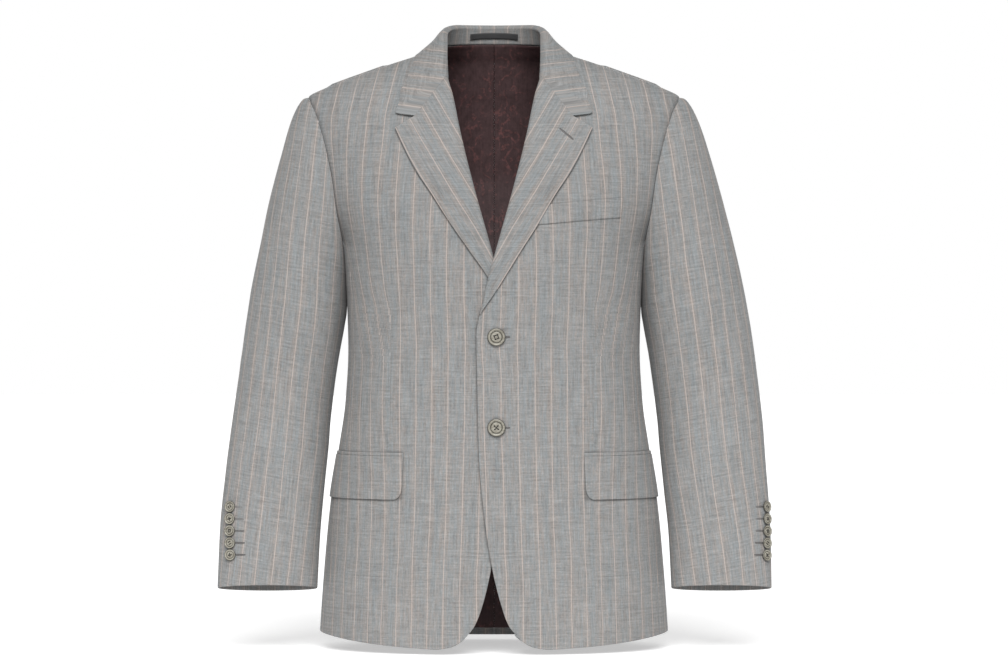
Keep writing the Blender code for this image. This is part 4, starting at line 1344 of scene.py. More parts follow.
class Recipe:
    """The nodes of one finish."""

    def __init__(self, name, roughness, sheen=0.0):
        self.made = bpy.data.materials.new(name)
        self.made.use_nodes = True
        self.tree = self.made.node_tree
        self.shader = self.tree.nodes["Principled BSDF"]
        self.shader.inputs["Roughness"].default_value = roughness
        if sheen:
            self.shader.inputs["Sheen Weight"].default_value = sheen
            self.shader.inputs["Sheen Roughness"].default_value = 0.5

    def node(self, kind, settings=None, inputs=None, output=0):
        made = self.tree.nodes.new(kind)
        for key, value in (settings or {}).items():
            setattr(made, key, value)
        named = enumerate(inputs) if isinstance(inputs, list) else (inputs or {}).items()
        for key, value in named:
            self.feed(made.inputs[key], value)
        return Signal(self, made.outputs[output])

    def feed(self, socket, value):
        if isinstance(value, Signal):
            self.tree.links.new(value.socket, socket)
        else:
            socket.default_value = value

    def set(self, name, value):
        self.feed(self.shader.inputs[name], value)

    def mix(self, share, low, high):
        return self.node("ShaderNodeMix", {"data_type": "RGBA"}, {0: share, 6: low, 7: high}, 2)

    def shade(self, colour, factor):
        """A colour made darker or lighter by a factor."""
        grey = self.node("ShaderNodeCombineXYZ", None, [factor, factor, factor])
        return self.node("ShaderNodeMix", {"data_type": "RGBA", "blend_type": "MULTIPLY"},
                         {0: 1.0, 6: colour, 7: grey}, 2)

    def place(self, *parts):
        return self.node("ShaderNodeCombineXYZ", None, list(parts))

    def parts(self, vector):
        split = self.node("ShaderNodeSeparateXYZ", None, [vector])
        return [Signal(self, socket) for socket in split.socket.node.outputs]

    def noise(self, scales, detail=2.0, rough=0.5, shift=None):
        """Soft random spots, by a scale for each place of the cloth or solid, and a shift."""
        parts = [place * scale for place, scale in zip(self.places, scales)]
        if shift is not None:
            parts.append(shift)
        return self.node("ShaderNodeTexNoise", None, {
            "Vector": self.place(*parts), "Scale": 1.0, "Detail": detail, "Roughness": rough})

    def map(self, name):
        return self.parts(self.node("ShaderNodeUVMap", {"uv_map": name}))

    def grain(self):
        """Places across and along the stripes, in millimetres."""
        across, along, _ = self.map("grain")
        self.places = (across * (1 / MM), along * (1 / MM))
        return self.places

    def solid(self):
        """Places in the object's own space, in metres."""
        self.places = self.parts(self.node("ShaderNodeTexCoord", output=3))
        return self.places

    def bump(self, height, distance, strength=1.0):
        self.set("Normal", self.node("ShaderNodeBump", None, {
            "Strength": strength, "Distance": distance, "Height": height}))


def tone(red, green, blue):
    """A colour from its everyday 0 to 255 values."""
    def linear(value):
        value /= 255
        return value / 12.92 if value <= 0.04045 else ((value + 0.055) / 1.055) ** 2.4
    return (linear(red), linear(green), linear(blue), 1.0)


def make_wool(name, lightness):
    """Grey suiting: uneven threads both ways, a fine pale stripe, warmer cloth beside it, painted
    shade.
    """
    wool = Recipe(name, 0.9, 0.1)
    across, _ = wool.grain()
    wander = (wool.noise((0.02, 0.03), shift=0.0) - 0.5) * 0.6
    away = (across + wander).from_middle(PITCH / MM)
    warps = wool.noise((0.4, 0.022), 3.0, 0.75, 0.0) - 0.5
    wefts = wool.noise((0.028, 0.4), 3.0, 0.75, 3.0) - 0.5
    patches = wool.noise((0.06, 0.05), 1.0, shift=17.0).between(0.3, 0.7)
    specks = wool.noise((0.35, 0.35), 3.0, 0.75, 7.0) - 0.5
    cloud = wool.noise((0.02, 0.012), shift=5.0) - 0.5
    light = (1.0 + warps * (patches * 0.8 + 0.55) + wefts * (1.3 - patches * 0.75)
             + specks * 0.7 + cloud * 0.12) * lightness
    hues = wool.noise((0.16, 0.008), 2.0, 0.6, 23.0) - 0.5
    tint = wool.noise((0.5, 0.1), 2.0, 0.6, 29.0) - 0.5
    band = (away.between(1.0, 8.0) * 0.25 + 0.38 + hues * 1.2 + tint * 1.2).between(0.0, 1.0)
    base = wool.shade(wool.mix(band, tone(161, 154, 149), tone(147, 152, 154)), light)
    broken = wool.noise((0.1, 0.28), shift=11.0).between(0.2, 0.65)
    line = (1.0 - away.between(0.2, 0.85)) * (broken * 0.4 + 0.36)
    stripe = wool.shade(tone(212, 196, 187), lightness)
    # painted shade: a dark line beside edges that lie on the cloth, and darkening in the armpit
    # hollows
    near, hollow, _ = wool.map("shade")
    shade = (1.0 - near.between(0.83, 0.985) * 0.4) * (1.0 - hollow * 0.78)
    wool.set("Base Color", wool.shade(wool.mix(line, base, stripe), shade))
    wool.bump((warps + wefts) * 0.5 + specks * 0.5, 0.0003, 0.5)
    return wool.made


def make_lining(name, lightness):
    """Plum satin with woven scrolls and sprigs of a redder colour and a seam down its middle."""
    satin = Recipe(name, 0.5)
    satin.set("Specular IOR Level", 0.25)
    across, along = satin.grain()
    flow = satin.noise((0.06, 0.05), 2.0, 0.3, 0.0)
    scroll = (flow * 30.0).apply("SINE").between(0.1, 1.0)
    spread = satin.noise((0.03, 0.026), 1.0, shift=9.0).between(0.42, 0.58)
    leaves = satin.node("ShaderNodeTexVoronoi", {"feature": "F1"}, {
        "Vector": satin.place(across * 0.11 + flow * 2.0, along * 0.08 + flow * 1.5, 2.0),
        "Scale": 1.0, "Randomness": 0.9})
    sprig = (1.0 - leaves.between(0.14, 0.3)) * (1.0 - spread)
    figure = (scroll * spread + sprig * 0.8) * 0.62
    threads = satin.noise((0.5, 0.04), 3.0, 0.7, 0.0)
    mottle = satin.noise((0.12, 0.09), 4.0, 0.75, 4.0)
    seam = 1.0 - across.apply("ABSOLUTE").between(0.3, 1.4)
    light = (threads * 0.6 + mottle * 1.3 + 0.02) * (1.0 - seam * 0.45) * lightness
    worn = satin.noise((0.3, 0.3), shift=14.0).between(0.38, 0.62)
    ground = satin.mix(figure * worn, tone(86, 66, 67), tone(136, 90, 88))
    satin.set("Base Color", satin.shade(ground, light))
    satin.bump(figure + threads * 0.3, 0.0002, 0.4)
    return satin.made


def make_tape():
    """Ribbed black tape."""
    tape = Recipe("black_tape", 0.6)
    across, _ = tape.grain()
    ribs = (across * 5.2).apply("SINE")
    fleck = tape.noise((1.5, 1.5), shift=0.0)
    tape.set("Base Color", tape.shade(tone(52, 52, 53), ribs * 0.12 + fleck * 0.5 + 0.72))
    tape.bump(ribs, 0.0001, 0.5)
    return tape.made


def make_horn():
    """Horn with soft cloudy streaks, and painted shade round its rim, in and beside its groove and
    under its edge.
    """
    horn = Recipe("grey_horn", 0.34)
    horn.solid()
    streaks = horn.noise((160.0, 60.0, 420.0), 3.0, 0.6)
    veins = horn.noise((700.0, 200.0, 1200.0))
    out, up, _ = horn.map("grain")
    base = horn.mix(streaks.between(0.3, 0.7), tone(163, 160, 148), tone(128, 123, 111))
    # painted shade: a dark outline round the rim, darkening in the groove and on its inner slope,
    # and under the button's edge
    rim = out.between(0.84, 0.96) * 0.72
    trough = (1.0 - (out - 0.635).apply("ABSOLUTE").between(0.015, 0.06)) * 0.62
    centre = out.between(0.5, 0.58) * (1.0 - out.between(0.58, 0.7)) * 0.2
    under = (1.0 - up.between(0.2, 0.7)) * 0.5
    horn.set("Base Color", horn.shade(base, (veins * 0.4 + 0.8) * (1.0 - rim) * (1.0 - trough)
                                      * (1.0 - centre) * (1.0 - under)))
    horn.set("Roughness", veins * 0.2 + 0.26)
    horn.bump(veins, 0.00006, 0.4)
    return horn.made


def make_thread(name, colour):
    """Twisted thread."""
    thread = Recipe(name, 0.7)
    x, y, z = thread.solid()
    twist = ((x + y * 0.4 + z) * 9000.0).apply("SINE")
    thread.set("Base Color", thread.shade(colour, twist * 0.2 + 0.9))
    thread.bump(twist, 0.0001, 0.6)
    return thread.made


def make_stitches(name, colour):
    """Close buttonhole stitches, square to the slit, with painted shade in the slit."""
    thread = Recipe(name, 0.8)
    along, across = thread.grain()
    twist = (along * 11.0 + across.apply("ABSOLUTE") * 0.6).apply("SINE")
    # painted shade in the slit between the rows of stitches
    slit = 1.0 - across.apply("ABSOLUTE").between(0.1, 0.42)
    thread.set("Base Color", thread.shade(colour, (twist * 0.16 + 0.92) * (1.0 - slit * 0.55)))
    thread.bump(twist, 0.0001, 0.7)
    return thread.made


# ---- soft folds and grooves

def groove(distance, depth, width):
    """A trough of a depth at a seam or dart, both in metres."""
    return -depth * math.exp(-(distance / width) ** 2)


def along_line(x, z, line):
    """Distance from a line of points in millimetres, seen from the front, and how far along."""
    best = (1e9, 0.0)
    total = len(line) - 1
    for i, (start, end) in enumerate(zip(line, line[1:])):
        run = Vector(end) - Vector(start)
        spot = Vector((x, z)) - Vector(start)
        share = clamp(spot.dot(run) / run.length_squared, 0.0, 1.0)
        distance = (spot - run * share).length
        if distance < best[0]:
            best = (distance, (i + share) / total)
    return best


def folds(point, table):
    """Height of soft folds at a point: a line, half width and height in millimetres for each."""
    rise = 0.0
    for line, width, height in table:
        distance, share = along_line(point.x / MM, point.z / MM, line)
        if distance < width * FOLD_REACH:
            fading = math.sin(math.pi * (0.08 + 0.84 * share)) ** 0.6
            rise += height * math.exp(-(distance / width) ** 2) * fading
    return rise * MM


FOLD_REACH = 2.6
SLEEVE_FOLDS_TURN_BACK = -6.0 * MM
SLEEVE_FOLDS = {
    "front": [
        (((300, -300), (262, -345), (228, -372)), 11, 0.9),
        (((318, -392), (270, -398), (222, -420)), 10, 0.8),
        (((214, -470), (262, -448), (312, -452)), 12, -0.7),
        (((318, -520), (280, -498), (240, -500)), 14, 0.6),
        (((262, -180), (256, -260), (262, -340)), 16, 0.7),
        (((238, -200), (232, -280), (236, -340)), 12, -0.7),
        (((330, -600), (310, -560), (290, -540)), 14, 0.5),
    ],
    "back": [
        (((296, -300), (262, -340), (226, -366)), 13, 1.2),
        (((318, -390), (272, -402), (224, -424)), 12, 1.1),
        (((216, -470), (262, -452), (314, -458)), 13, -0.8),
        (((262, -150), (250, -230), (252, -320)), 18, 1.0),
    ],
}
FRONT_FOLDS = [
    (((24, -345), (60, -330), (104, -318)), 12, 0.5),
    (((22, -372), (66, -392), (112, -402)), 13, -0.5),
    (((170, -330), (150, -372), (146, -430)), 12, 0.6),
    (((186, -270), (172, -300), (150, -322)), 11, -0.5),
    (((60, -560), (56, -640), (62, -730)), 18, 0.6),
    (((128, -580), (132, -650), (140, -728)), 18, -0.6),
    (((168, -585), (176, -650), (184, -724)), 14, 0.7),
]
BACK_FOLDS = [
    (((60, -120), (64, -220), (50, -320)), 20, 0.8),
    (((150, -130), (146, -220), (152, -300)), 16, 1.2),
    (((60, -360), (110, -382), (160, -376)), 14, 0.9),
    (((40, -410), (100, -420), (150, -440)), 14, -0.8),
    (((70, -560), (80, -650), (84, -730)), 22, 0.8),
    (((140, -560), (150, -640), (160, -724)), 18, -0.7),
]


# ---- pieces

def dart_x(side, z):
    """How far out the dart of a front runs at a height."""
    (top, out), (low, low_out) = DART[side]
    share = clamp((top - z / MM) / (top - low), 0.0, 1.0)
    return (out + (low_out - out) * share) * MM


# painted shade beside an edge that lies on the cloth reaches this far
NEAR = 20.0 * MM
LAPEL_TIP_LEVEL = -101.0 * MM
UNDER_EDGE_SHOWS = -285.0 * MM
ARMPIT_REACH = 9.0 * MM

# the bulge of the overlying front over its buttons, by height in millimetres, from its edge inwards
BULGE_LOW, BULGE_HIGH = -430, -326
BULGE = 1.3 * MM


def nearness(*distances):
    """Strength of painted shade beside an edge: from 0 at a distance of NEAR or more to 1 at the
    edge.
    """
    return clamp(1 - min(distances) / NEAR, 0.0, 1.0)


def from_flap(point):
    """Distance of a point of a front or side from the outline of its pocket flap."""
    return math.hypot(max(FLAP_FRONT_X + 2 * MM - point.x, 0.0), max(point.y + 7 * MM, 0.0),
                      max(FLAP_BOTTOM - point.z, point.z - JET_TOP, 0.0))


def armpit(z, lasting):
    """How deep a height lies in the hollow of the armpit, for the painted shade there; a lasting
    share stays below it.
    """
    return ease((-0.16 - z) / 0.09) * (1 - (1 - lasting) * ease((-0.31 - z) / 0.07))


def make_front(side, name, over):
    place, _ = front_panel(over)

    key = "over" if over else "under"
    breadth, _ = SIZES["front"]

    # painted shade: dark lines beside the pocket flap, the lapel's outer edge, the overlying
    # front's edge and the armhole seam, and darkening in the armpit hollow
    def shade(u, v, point):
        z = point.z
        lapel_edge = LAPEL_EDGE.size(key, max(z, ROLL_START))
        beyond_lapel = math.hypot(max(point.x - lapel_edge, 0.0) * 0.85,
                                  max(z - LAPEL_TIP_LEVEL, ROLL_START - z, 0.0))
        edges = [from_flap(point), beyond_lapel]
        if not over and z < UNDER_EDGE_SHOWS:
            edges.append(max(point.x + front_edge("over", z), 0.0))
        from_armhole = (1 - u) * breadth * MM
        hollow = 0.0
        if z > FRONT_ARMHOLE_LEVEL:
            edges.append(from_armhole + 1.5 * MM)
            hollow = math.exp(-from_armhole / ARMPIT_REACH) * armpit(z, 0.0)
        return nearness(*edges), hollow

    @lru_cache(None)
    def dart_share(v):
        """Share of the breadth at which the dart's line lies at a row."""
        def is_before(u):
            point = place(u, v)
            return point.x < dart_x(side, point.z)
        return turning_point(0.3, 0.95, 22, is_before)

    def warped(u, v):
        at = dart_share(v)
        if u <= DART_AT:
            return place(u / DART_AT * at, v)
        return place(at + (u - DART_AT) / (1 - DART_AT) * (1 - at), v)

    def relief(u, v, point):
        rise = folds(point, FRONT_FOLDS)
        z = point.z / MM
        (top, _), (low, _) = DART[side]
        inside = ease((top - z) / 40) * ease((z - low) / 6)
        rise += groove(point.x - dart_x(side, point.z), 0.5 * MM, 0.9 * MM) * inside
        if over and BULGE_LOW < z < BULGE_HIGH:
            from_edge = point.x - front_edge("over", point.z)
            height = ease((BULGE_HIGH - z) / 7) * (0.25 + 0.75 * ease((z - BULGE_LOW) / 90))
            rise += BULGE * height * (1 - ease((from_edge / MM - 4.2) / 2.4))
        return rise

    def jump(u, v, centre):
        z = centre.z / MM
        if u < DART_AT or z < JET_BOTTOM / MM:
            return 0.0
        top = DART[side][0][0]
        return ease((top - z) / (top - DART_FULL)) * PITCH

    def lined(u, v, centre):
        x, z = centre.x / MM, centre.z / MM
        edge = 62 + 34 * ease((z + 520) / 300)
        return x > edge and v > 0.03

    return cloth("front", name, warped, [wool, lining], lambda u, v, p: front_grain(p, side),
                 us=stops(breadth * MM, DART_AT), side=side, relief=relief, inside=lined,
                 jump=jump, soft_ends=(1, 0.6, 1, 0.4), shade=shade)


def make_side(side, name):
    # painted shade: a dark line round the pocket flap, and darkening in the armpit hollow towards
    # its back
    def shade(u, v, point):
        behind = ease((point.y + 30 * MM) / (30 * MM))
        return nearness(from_flap(point)), behind * armpit(point.z, 0.0)

    return cloth("side", name, side_panel(), [wool, lining], lambda u, v, p: side_grain(p),
                 side=side, inside=lambda u, v, c: v > 0.06, soft_ends=(0.6, 0.6, 1, 0.6),
                 shade=shade)


def make_back(side, name):
    place, _ = back_panel(0.0, 0.0)
    us = stops(SIZES["back"][0] * MM, BACK_NECK_COLUMNS / BACK_COLUMNS)
    return cloth("back", name, place, [wool], lambda u, v, p: back_grain(p), us=us, side=side,
                 outward=-1, relief=lambda u, v, p: folds(p, BACK_FOLDS),
                 soft_ends=(0.6, 0.6, 1, 0.4))


def make_lining_back(side, name):
    place, _ = back_panel(LINING_DEPTH, LINING_RISE)
    neck = BACK_NECK_COLUMNS / BACK_COLUMNS

    def raised(u, v):
        point = place(u, v)
        point.z += LINING_NECK_RISE * ease((v - 0.985) / 0.015) * ease((neck - u) / 0.06 + 1)
        return point

    return cloth("lining_back", name, raised, [lining], lambda u, v, p: (p.x * side, -p.z),
                 us=stops(SIZES["lining_back"][0] * MM, neck), side=side, thickness=LINING_CLOTH,
                 outward=-1, soft_ends=(0.5, 0.5, 1, 0.3))


# rows of the sleeve's head, closest beside its seam, and how much fuller the roped head stands
HEAD_ROWS = (0, 0.08, 0.2, 0.4, 0.7, 1, 1.35, 1.7, 2.1, 2.5, 3, 3.4, 3.8, 4.2, 4.6, 5)
ARM_LENGTH = 440 * MM
ROPED_HEAD = 1.1 * MM
ROPED_HEAD_END = 2.5
CUFF_LINED_TO = 0.92


def make_sleeve(side, name, top):
    kind = "top_sleeve" if top else "under_sleeve"
    base = sleeve_piece(top)

    def place(u, v):
        return hung(base(u, v), name, v * SLEEVE_ROWS)

    def turn_at(u, row):
        back = SLEEVE_BACK_SEAM.at("angle", row)
        start, end = (back, SLEEVE_FRONT_SEAM_AT) if top else (SLEEVE_FRONT_SEAM_AT, back + 360)
        return start + (end - start) * u

    def grain(u, v, point):
        row = v * SLEEVE_ROWS
        shift = 0.0 if side == LEFT else RIGHT_SLEEVE_SHIFT.at("shift", row)
        return sleeve_grain(turn_at(u, row), row, shift, point)

    def relief(u, v, point):
        seen = "front" if point.y < SLEEVE_FOLDS_TURN_BACK else "back"
        rise = folds(point, SLEEVE_FOLDS[seen])
        row = v * SLEEVE_ROWS
        if row < ROPED_HEAD_END:
            head = 1 - ease((turn_from_tip(turn_at(u, row)) - 60) / 45)
            rise += ROPED_HEAD * head * math.exp(-((row - 0.9) / 0.8) ** 2)
        return rise

    # painted shade on the inner side of the sleeve, in the armpit hollow, a share of it lasting
    # down to the cuff
    def shade(u, v, point):
        turn = turn_at(u, v * SLEEVE_ROWS)
        return 0.0, (1 - ease(abs(180 - turn) / 52)) * armpit(point.z, 0.35)

    arm_rows = SLEEVE_ROWS - HEAD_ROWS[-1]
    rows = [*HEAD_ROWS, *(HEAD_ROWS[-1] + arm_rows * share
                          for share in stops(ARM_LENGTH)[len(RIM_STEPS) + 1:])]
    return cloth(kind, name, place, [wool, lining], grain, vs=[row / SLEEVE_ROWS for row in rows],
                 side=side, relief=relief, inside=lambda u, v, c: v < CUFF_LINED_TO, shade=shade)


def make_lapel(side, name, over):
    place, columns = lapel_piece(over)
    start = TURN_COLUMNS / columns
    us = [i / 4 / columns for i in range(4 * TURN_COLUMNS)]
    us += [start + (1 - start) * share for share in stops(66 * MM, 0.6, cell=4.5 * MM)]
    return cloth("lapel", name, place, [wool], lambda u, v, p: lapel_grain(p), us=us,
                 vs=stops(290 * MM, cell=5 * MM), side=side, soft_ends=(0, 1, 1, 0.4))


# stripes of the collar: round the back of the neck by length, down its fronts by level
COLLAR_STRIPE_PITCH = 22.2 * MM
COLLAR_STRIPE_SLANT = 0.14
COLLAR_LEVELS = (-22, -8, 8, 26, 45.4, 62.9, 86)
COLLAR_LABELS = (4, 5, 6, 7, 8, 9, 10)
COLLAR_LABELS_APART = 17
# places across the collar at which its cloth is cut up, closest over its fold and at its edge
COLLAR_ACROSS = (0, 0.05, 0.12, 0.25, 0.4, 0.6, 0.8, 1, 1.25, 1.5, 1.75, 2, 2.12, 2.25, 2.37, 2.5,
                 2.62, 2.75, 2.87, 3, 3.12, 3.25, 3.45, 3.65, 3.85, 4.05, 4.25, 4.45, 4.6, 4.75,
                 4.88, 4.95, 4.98, 5)


def collar_length(station):
    """Length along the collar's fall from the centre back."""
    return follow([i * 0.5 for i in range(21)], COLLAR_LENGTHS, abs(station), 0.0)


def collar_lengths():
    """Lengths along the collar's fall at each half station."""
    points = [collar_point(i * 0.5, 3.6) for i in range(21)]
    lengths = [0.0]
    for a, b in zip(points, points[1:]):
        lengths.append(lengths[-1] + (b - a).length)
    return lengths


COLLAR_LENGTHS = collar_lengths()


def make_collar():
    stations = sorted({round(i * 0.14, 3) for i in range(72)} | {9.9, 9.95, 9.98, COLLAR_END})
    stations = [-station for station in stations[:0:-1]] + stations

    def place(u, v):
        return collar_point(between(stations, u), between(COLLAR_ACROSS, v))

    def grain(u, v, point):
        station = between(stations, u)
        count = abs(station)
        round_neck = collar_length(count) / COLLAR_STRIPE_PITCH
        level = point.z - COLLAR_STRIPE_SLANT * abs(point.x)
        down_front = follow(COLLAR_LEVELS, COLLAR_LABELS, -level / MM, 1 / COLLAR_LABELS_APART)
        label = round_neck + (down_front - round_neck) * ease((count - 3.2) / 2.2)
        along = between(COLLAR_ACROSS, v) * 17 * MM
        return math.copysign(label, station) * PITCH, along

    us = [i / (len(stations) - 1) for i in range(len(stations))]
    vs = [i / (len(COLLAR_ACROSS) - 1) for i in range(len(COLLAR_ACROSS))]
    return cloth("collar", "", place, [wool], grain, us=us, vs=vs, thickness=COLLAR_CLOTH,
                 soft_ends=(0.4, 0.4, 1, 1))


def make_pockets(side, name):
    """A flap and the jet above it."""
    def grain(u, v, point):
        return front_grain(point, side)

    flap = cloth("pocket_flap", name, lift_place(flap_place, LAID_ON + CLOTH), [wool], grain,
                 cells=(3 * MM, 3 * MM), side=side)
    jet = cloth("pocket_jet", name, lift_place(jet_place, LAID_ON + WELT_CLOTH), [wool], grain,
                cells=(3 * MM, 1 * MM), side=side, thickness=WELT_CLOTH)
    return flap, jet


def make_welt():
    return cloth("breast_welt", "", lift_place(welt_place, LAID_ON + WELT_CLOTH), [wool],
                 lambda u, v, p: front_grain(p), cells=(3 * MM, 3 * MM), thickness=WELT_CLOTH)


def make_loop():
    length, width = SIZES["hanger_loop"]
    piece = cloth("hanger_loop", "", lift_place(loop_place, LOOP_GAP + WELT_CLOTH), [tape],
                  lambda u, v, p: (u * length * MM, v * width * MM),
                  cells=(2 * MM, 1.5 * MM), thickness=WELT_CLOTH, ending="tape")
    return piece


def lift_place(place, lift):
    """The same place, moved out from the panel it lies on."""
    def lifted(u, v):
        point, normal = place(u, v)
        return point + normal * lift
    return lifted


# profile of a button from its axis out and back, in radii; its holes, also in radii
BUTTON_SHAPE = (
    (0.0, 0.0), (0.72, 0.0), (0.9, 0.14), (0.985, 0.36), (1.0, 0.6), (0.985, 0.8), (0.94, 0.94),
    (0.88, 1.0), (0.81, 1.0), (0.75, 0.93), (0.7, 0.76), (0.665, 0.52), (0.63, 0.46),
    (0.595, 0.52), (0.57, 0.68), (0.53, 0.76), (0.46, 0.76), (0.3, 0.7), (0.0, 0.66),
)
HOLE_PLACES = ((0.2, 0.2), (-0.2, 0.2), (-0.2, -0.2), (0.2, -0.2))
HOLE_RADIUS = 0.085
HOLE_SIDES = 14
THREAD = 0.5 * MM
THREAD_FOOT = 0.3 * MM
THREAD_ARCH = 0.12 * MM


@lru_cache(None)
def turned_button(radius, segments):
    """Mesh of a turned button with a raised rim, a groove and four holes cut through, facing up."""
    bm = bmesh.new()
    verts = [bm.verts.new((across * radius, 0.0, up * radius * BUTTON_THICKNESS))
             for across, up in BUTTON_SHAPE]
    edges = [bm.edges.new(pair) for pair in zip(verts, verts[1:])]
    bmesh.ops.spin(bm, geom=verts + edges, cent=(0, 0, 0), axis=(0, 0, 1),
                   angle=math.tau, steps=segments, use_merge=True)
    bmesh.ops.remove_doubles(bm, verts=bm.verts, dist=0.005 * MM)
    turn_outward(bm)
    blank = added("blank", mesh_of("blank", bm))
    bm = bmesh.new()
    for x, y in HOLE_PLACES:
        made = bmesh.ops.create_cone(
            bm, cap_ends=True, segments=HOLE_SIDES, radius1=HOLE_RADIUS * radius,
            radius2=HOLE_RADIUS * radius, depth=radius)
        bmesh.ops.translate(bm, verts=made["verts"], vec=(x * radius, y * radius, 0.0))
    drill = added("drill", mesh_of("drill", bm))
    cut = blank.modifiers.new("holes", "BOOLEAN")
    cut.object = drill
    cut.solver = "EXACT"
    seen = blank.evaluated_get(bpy.context.evaluated_depsgraph_get())
    mesh = bpy.data.meshes.new_from_object(seen)
    bpy.data.objects.remove(blank)
    bpy.data.objects.remove(drill)
    return mesh


def make_button(node, radius, centre, facing, segments, spun, sewn):
    """A button turned to face a way and spun in its plane, its thread sewn through its holes."""
    bm = bmesh.new()
    bm.from_mesh(turned_button(radius, segments))
    ring = bm.loops.layers.uv.new("grain")
    for face in bm.faces:
        for loop in face.loops:
            loop[ring].uv = (math.hypot(loop.vert.co.x, loop.vert.co.y) / radius,
                             loop.vert.co.z / radius / BUTTON_THICKNESS)
    turn = facing.to_track_quat("Z", "Y").to_matrix().to_4x4() @ Matrix.Rotation(spun, 4, "Z")
    turn.translation = centre
    bm.transform(turn)
    piece = finished(f"{node}_horn", bm, [horn], 35)
    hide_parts(node)
    low, high = THREAD_FOOT, 0.7 * BUTTON_THICKNESS * radius + THREAD * 0.8
    curve = bpy.data.curves.new(f"{node}_thread", "CURVE")
    curve.dimensions = "3D"
    curve.bevel_depth = THREAD
    curve.bevel_resolution = 2
    for first, last in sewn:
        a, b = (Vector((*HOLE_PLACES[hole], 0.0)) * radius for hole in (first, last))
        line = curve.splines.new("POLY")
        line.points.add(6)
        for i in range(7):
            share = clamp((i - 1) / 4, 0.0, 1.0)
            spot = a.lerp(b, share)
            spot.z = low if i in (0, 6) else high + THREAD_ARCH * math.sin(math.pi * share)
            line.points[i].co = (*(turn @ spot), 1.0)
    curve.materials.append(thread_grey)
    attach(added(f"{node}_thread", curve), "root")


def make_buttonhole(name, start, end, width, seat):
    """A worked buttonhole: two raised rows of thread with a slit between, laid on a seat(a, b)."""
    bm = bmesh.new()
    bmesh.ops.create_grid(bm, x_segments=40, y_segments=12, size=0.5)
    stitches = bm.verts.layers.float_vector.new("grain")
    first, _ = seat(*start)
    last, _ = seat(*end)
    length = (last - first).length
    for vert in bm.verts:
        u, v = vert.co.x + 0.5, vert.co.y * 2
        point, normal = seat(*(a + (b - a) * u for a, b in zip(start, end)))
        sideways = normal.cross(last - first).normalized()
        taper = math.sqrt(max(1 - abs(2 * u - 1) ** 6, 0.0))
        ridge = math.sin(math.pi * abs(v)) ** 0.7 if abs(v) < 1 else 0.0
        slit = math.exp(-(v / 0.16) ** 2) * (1 if 0.06 < u < 0.94 else 0)
        rise = 0.05 * MM + 0.5 * MM * ridge * taper - 0.25 * MM * slit
        vert[stitches] = (u * length, v * width / 2, 0.0)
        vert.co = point + normal * rise + sideways * v * width / 2 * (0.15 + 0.85 * taper)
    thread_map = bm.loops.layers.uv.new("grain")
    for face in bm.faces:
        for loop in face.loops:
            loop[thread_map].uv = loop.vert[stitches][:2]
    bm.normal_update()
    if sum((face.normal.dot(normal) for face in bm.faces), 0.0) < 0:
        bmesh.ops.reverse_faces(bm, faces=bm.faces)
    return finished(name, bm, [stitch_grey], 60)


# ---- the blazer

wool = make_wool("grey_wool", 0.77)
lining = make_lining("plum_lining", 0.86)
tape = make_tape()
horn = make_horn()
thread_grey = make_thread("grey_thread", tone(50, 48, 46))
stitch_grey = make_stitches("buttonhole_thread", tone(112, 110, 109))

# the cut of what shows of each cloth piece: width and length in metres, share of that box, how it
# is held and what it hangs from or lies on
CUTS = {
    "front": (0.244, 0.820, 0.833, "hung", ["back_{}"]),
    "side": (0.114, 0.525, 0.844, "hung", ["front_{}", "back_{}"]),
    "back": (0.265, 0.827, 0.753, "hung", ["collar"]),
    "lining_back": (0.265, 0.814, 0.743, "hung", ["back_{}"]),
    "top_sleeve": (0.222, 0.637, 0.751, "hung", ["front_{}", "back_{}"]),
    "under_sleeve": (0.182, 0.603, 0.764, "hung", ["front_{}", "back_{}"]),
    "lapel": (0.106, 0.304, 0.438, "folded", ["front_{}"]),
    "pocket_flap": (0.153, 0.059, 0.928, "hung", ["front_{}"]),
    "collar": (0.624, 0.092, 0.592, "folded", ["back_left", "back_right"]),
    "breast_welt": (0.111, 0.026, 0.929, "laid", ["front_left"]),
}


def declare(piece, kind, name="", trimmings=()):
    """Reads a cloth piece's own cut, how it is held and what it lies on from CUTS, but does nothing
    with them; the small pieces given to go with it are not used.
    """
    width, length, share, held, under = CUTS[kind]
    [node.format(name) for node in under]


for side, name in ((LEFT, "left"), (RIGHT, "right")):
    over = side == LEFT
    declare(make_front(side, name, over), "front", name)
    declare(make_side(side, name), "side", name)
    declare(make_back(side, name), "back", name)
    declare(make_lining_back(side, name), "lining_back", name)
    declare(make_sleeve(side, name, True), "top_sleeve", name)
    declare(make_sleeve(side, name, False), "under_sleeve", name)
    declare(make_lapel(side, name, over), "lapel", name)
    flap, jet = make_pockets(side, name)
    declare(flap, "pocket_flap", name, [jet])
declare(make_collar(), "collar", "", [make_loop()])
declare(make_welt(), "breast_welt")

# which holes a thread joins
SQUARE = ((0, 1), (1, 2), (2, 3), (3, 0))
CROSS = ((0, 2), (1, 3))
PAIRS = ((0, 1), (2, 3))
CUFF_SEWN = (PAIRS, CROSS, SQUARE, PAIRS, CROSS)

# degrees by which each cuff button lies further round than the one above it, and by which the
# left ones lie further back
CUFF_BUTTON_DRIFT = 1.3
LEFT_CUFF_TURN = -14.0
CUFF_BUTTON_SEAT = 1.2 * MM
CUFF_BUTTON_FORWARD = {LEFT: -0.1, RIGHT: -0.5}
CUFF_HOLE = (-2, 22)
FRONT_HOLE = (-3.5 * MM, 20.5 * MM)
LAPEL_HOLE = ((81.0 * MM, -101.2 * MM), (98.3 * MM, -115.4 * MM))


def front_seat(x, z):
    point = skin(x, z, FRONT)
    return point, skin_normal(point)


def lapel_seat(x, z):
    point, normal = front_seat(x, z)
    return point + normal * (TURNED_LIFT - 0.1 * MM), normal


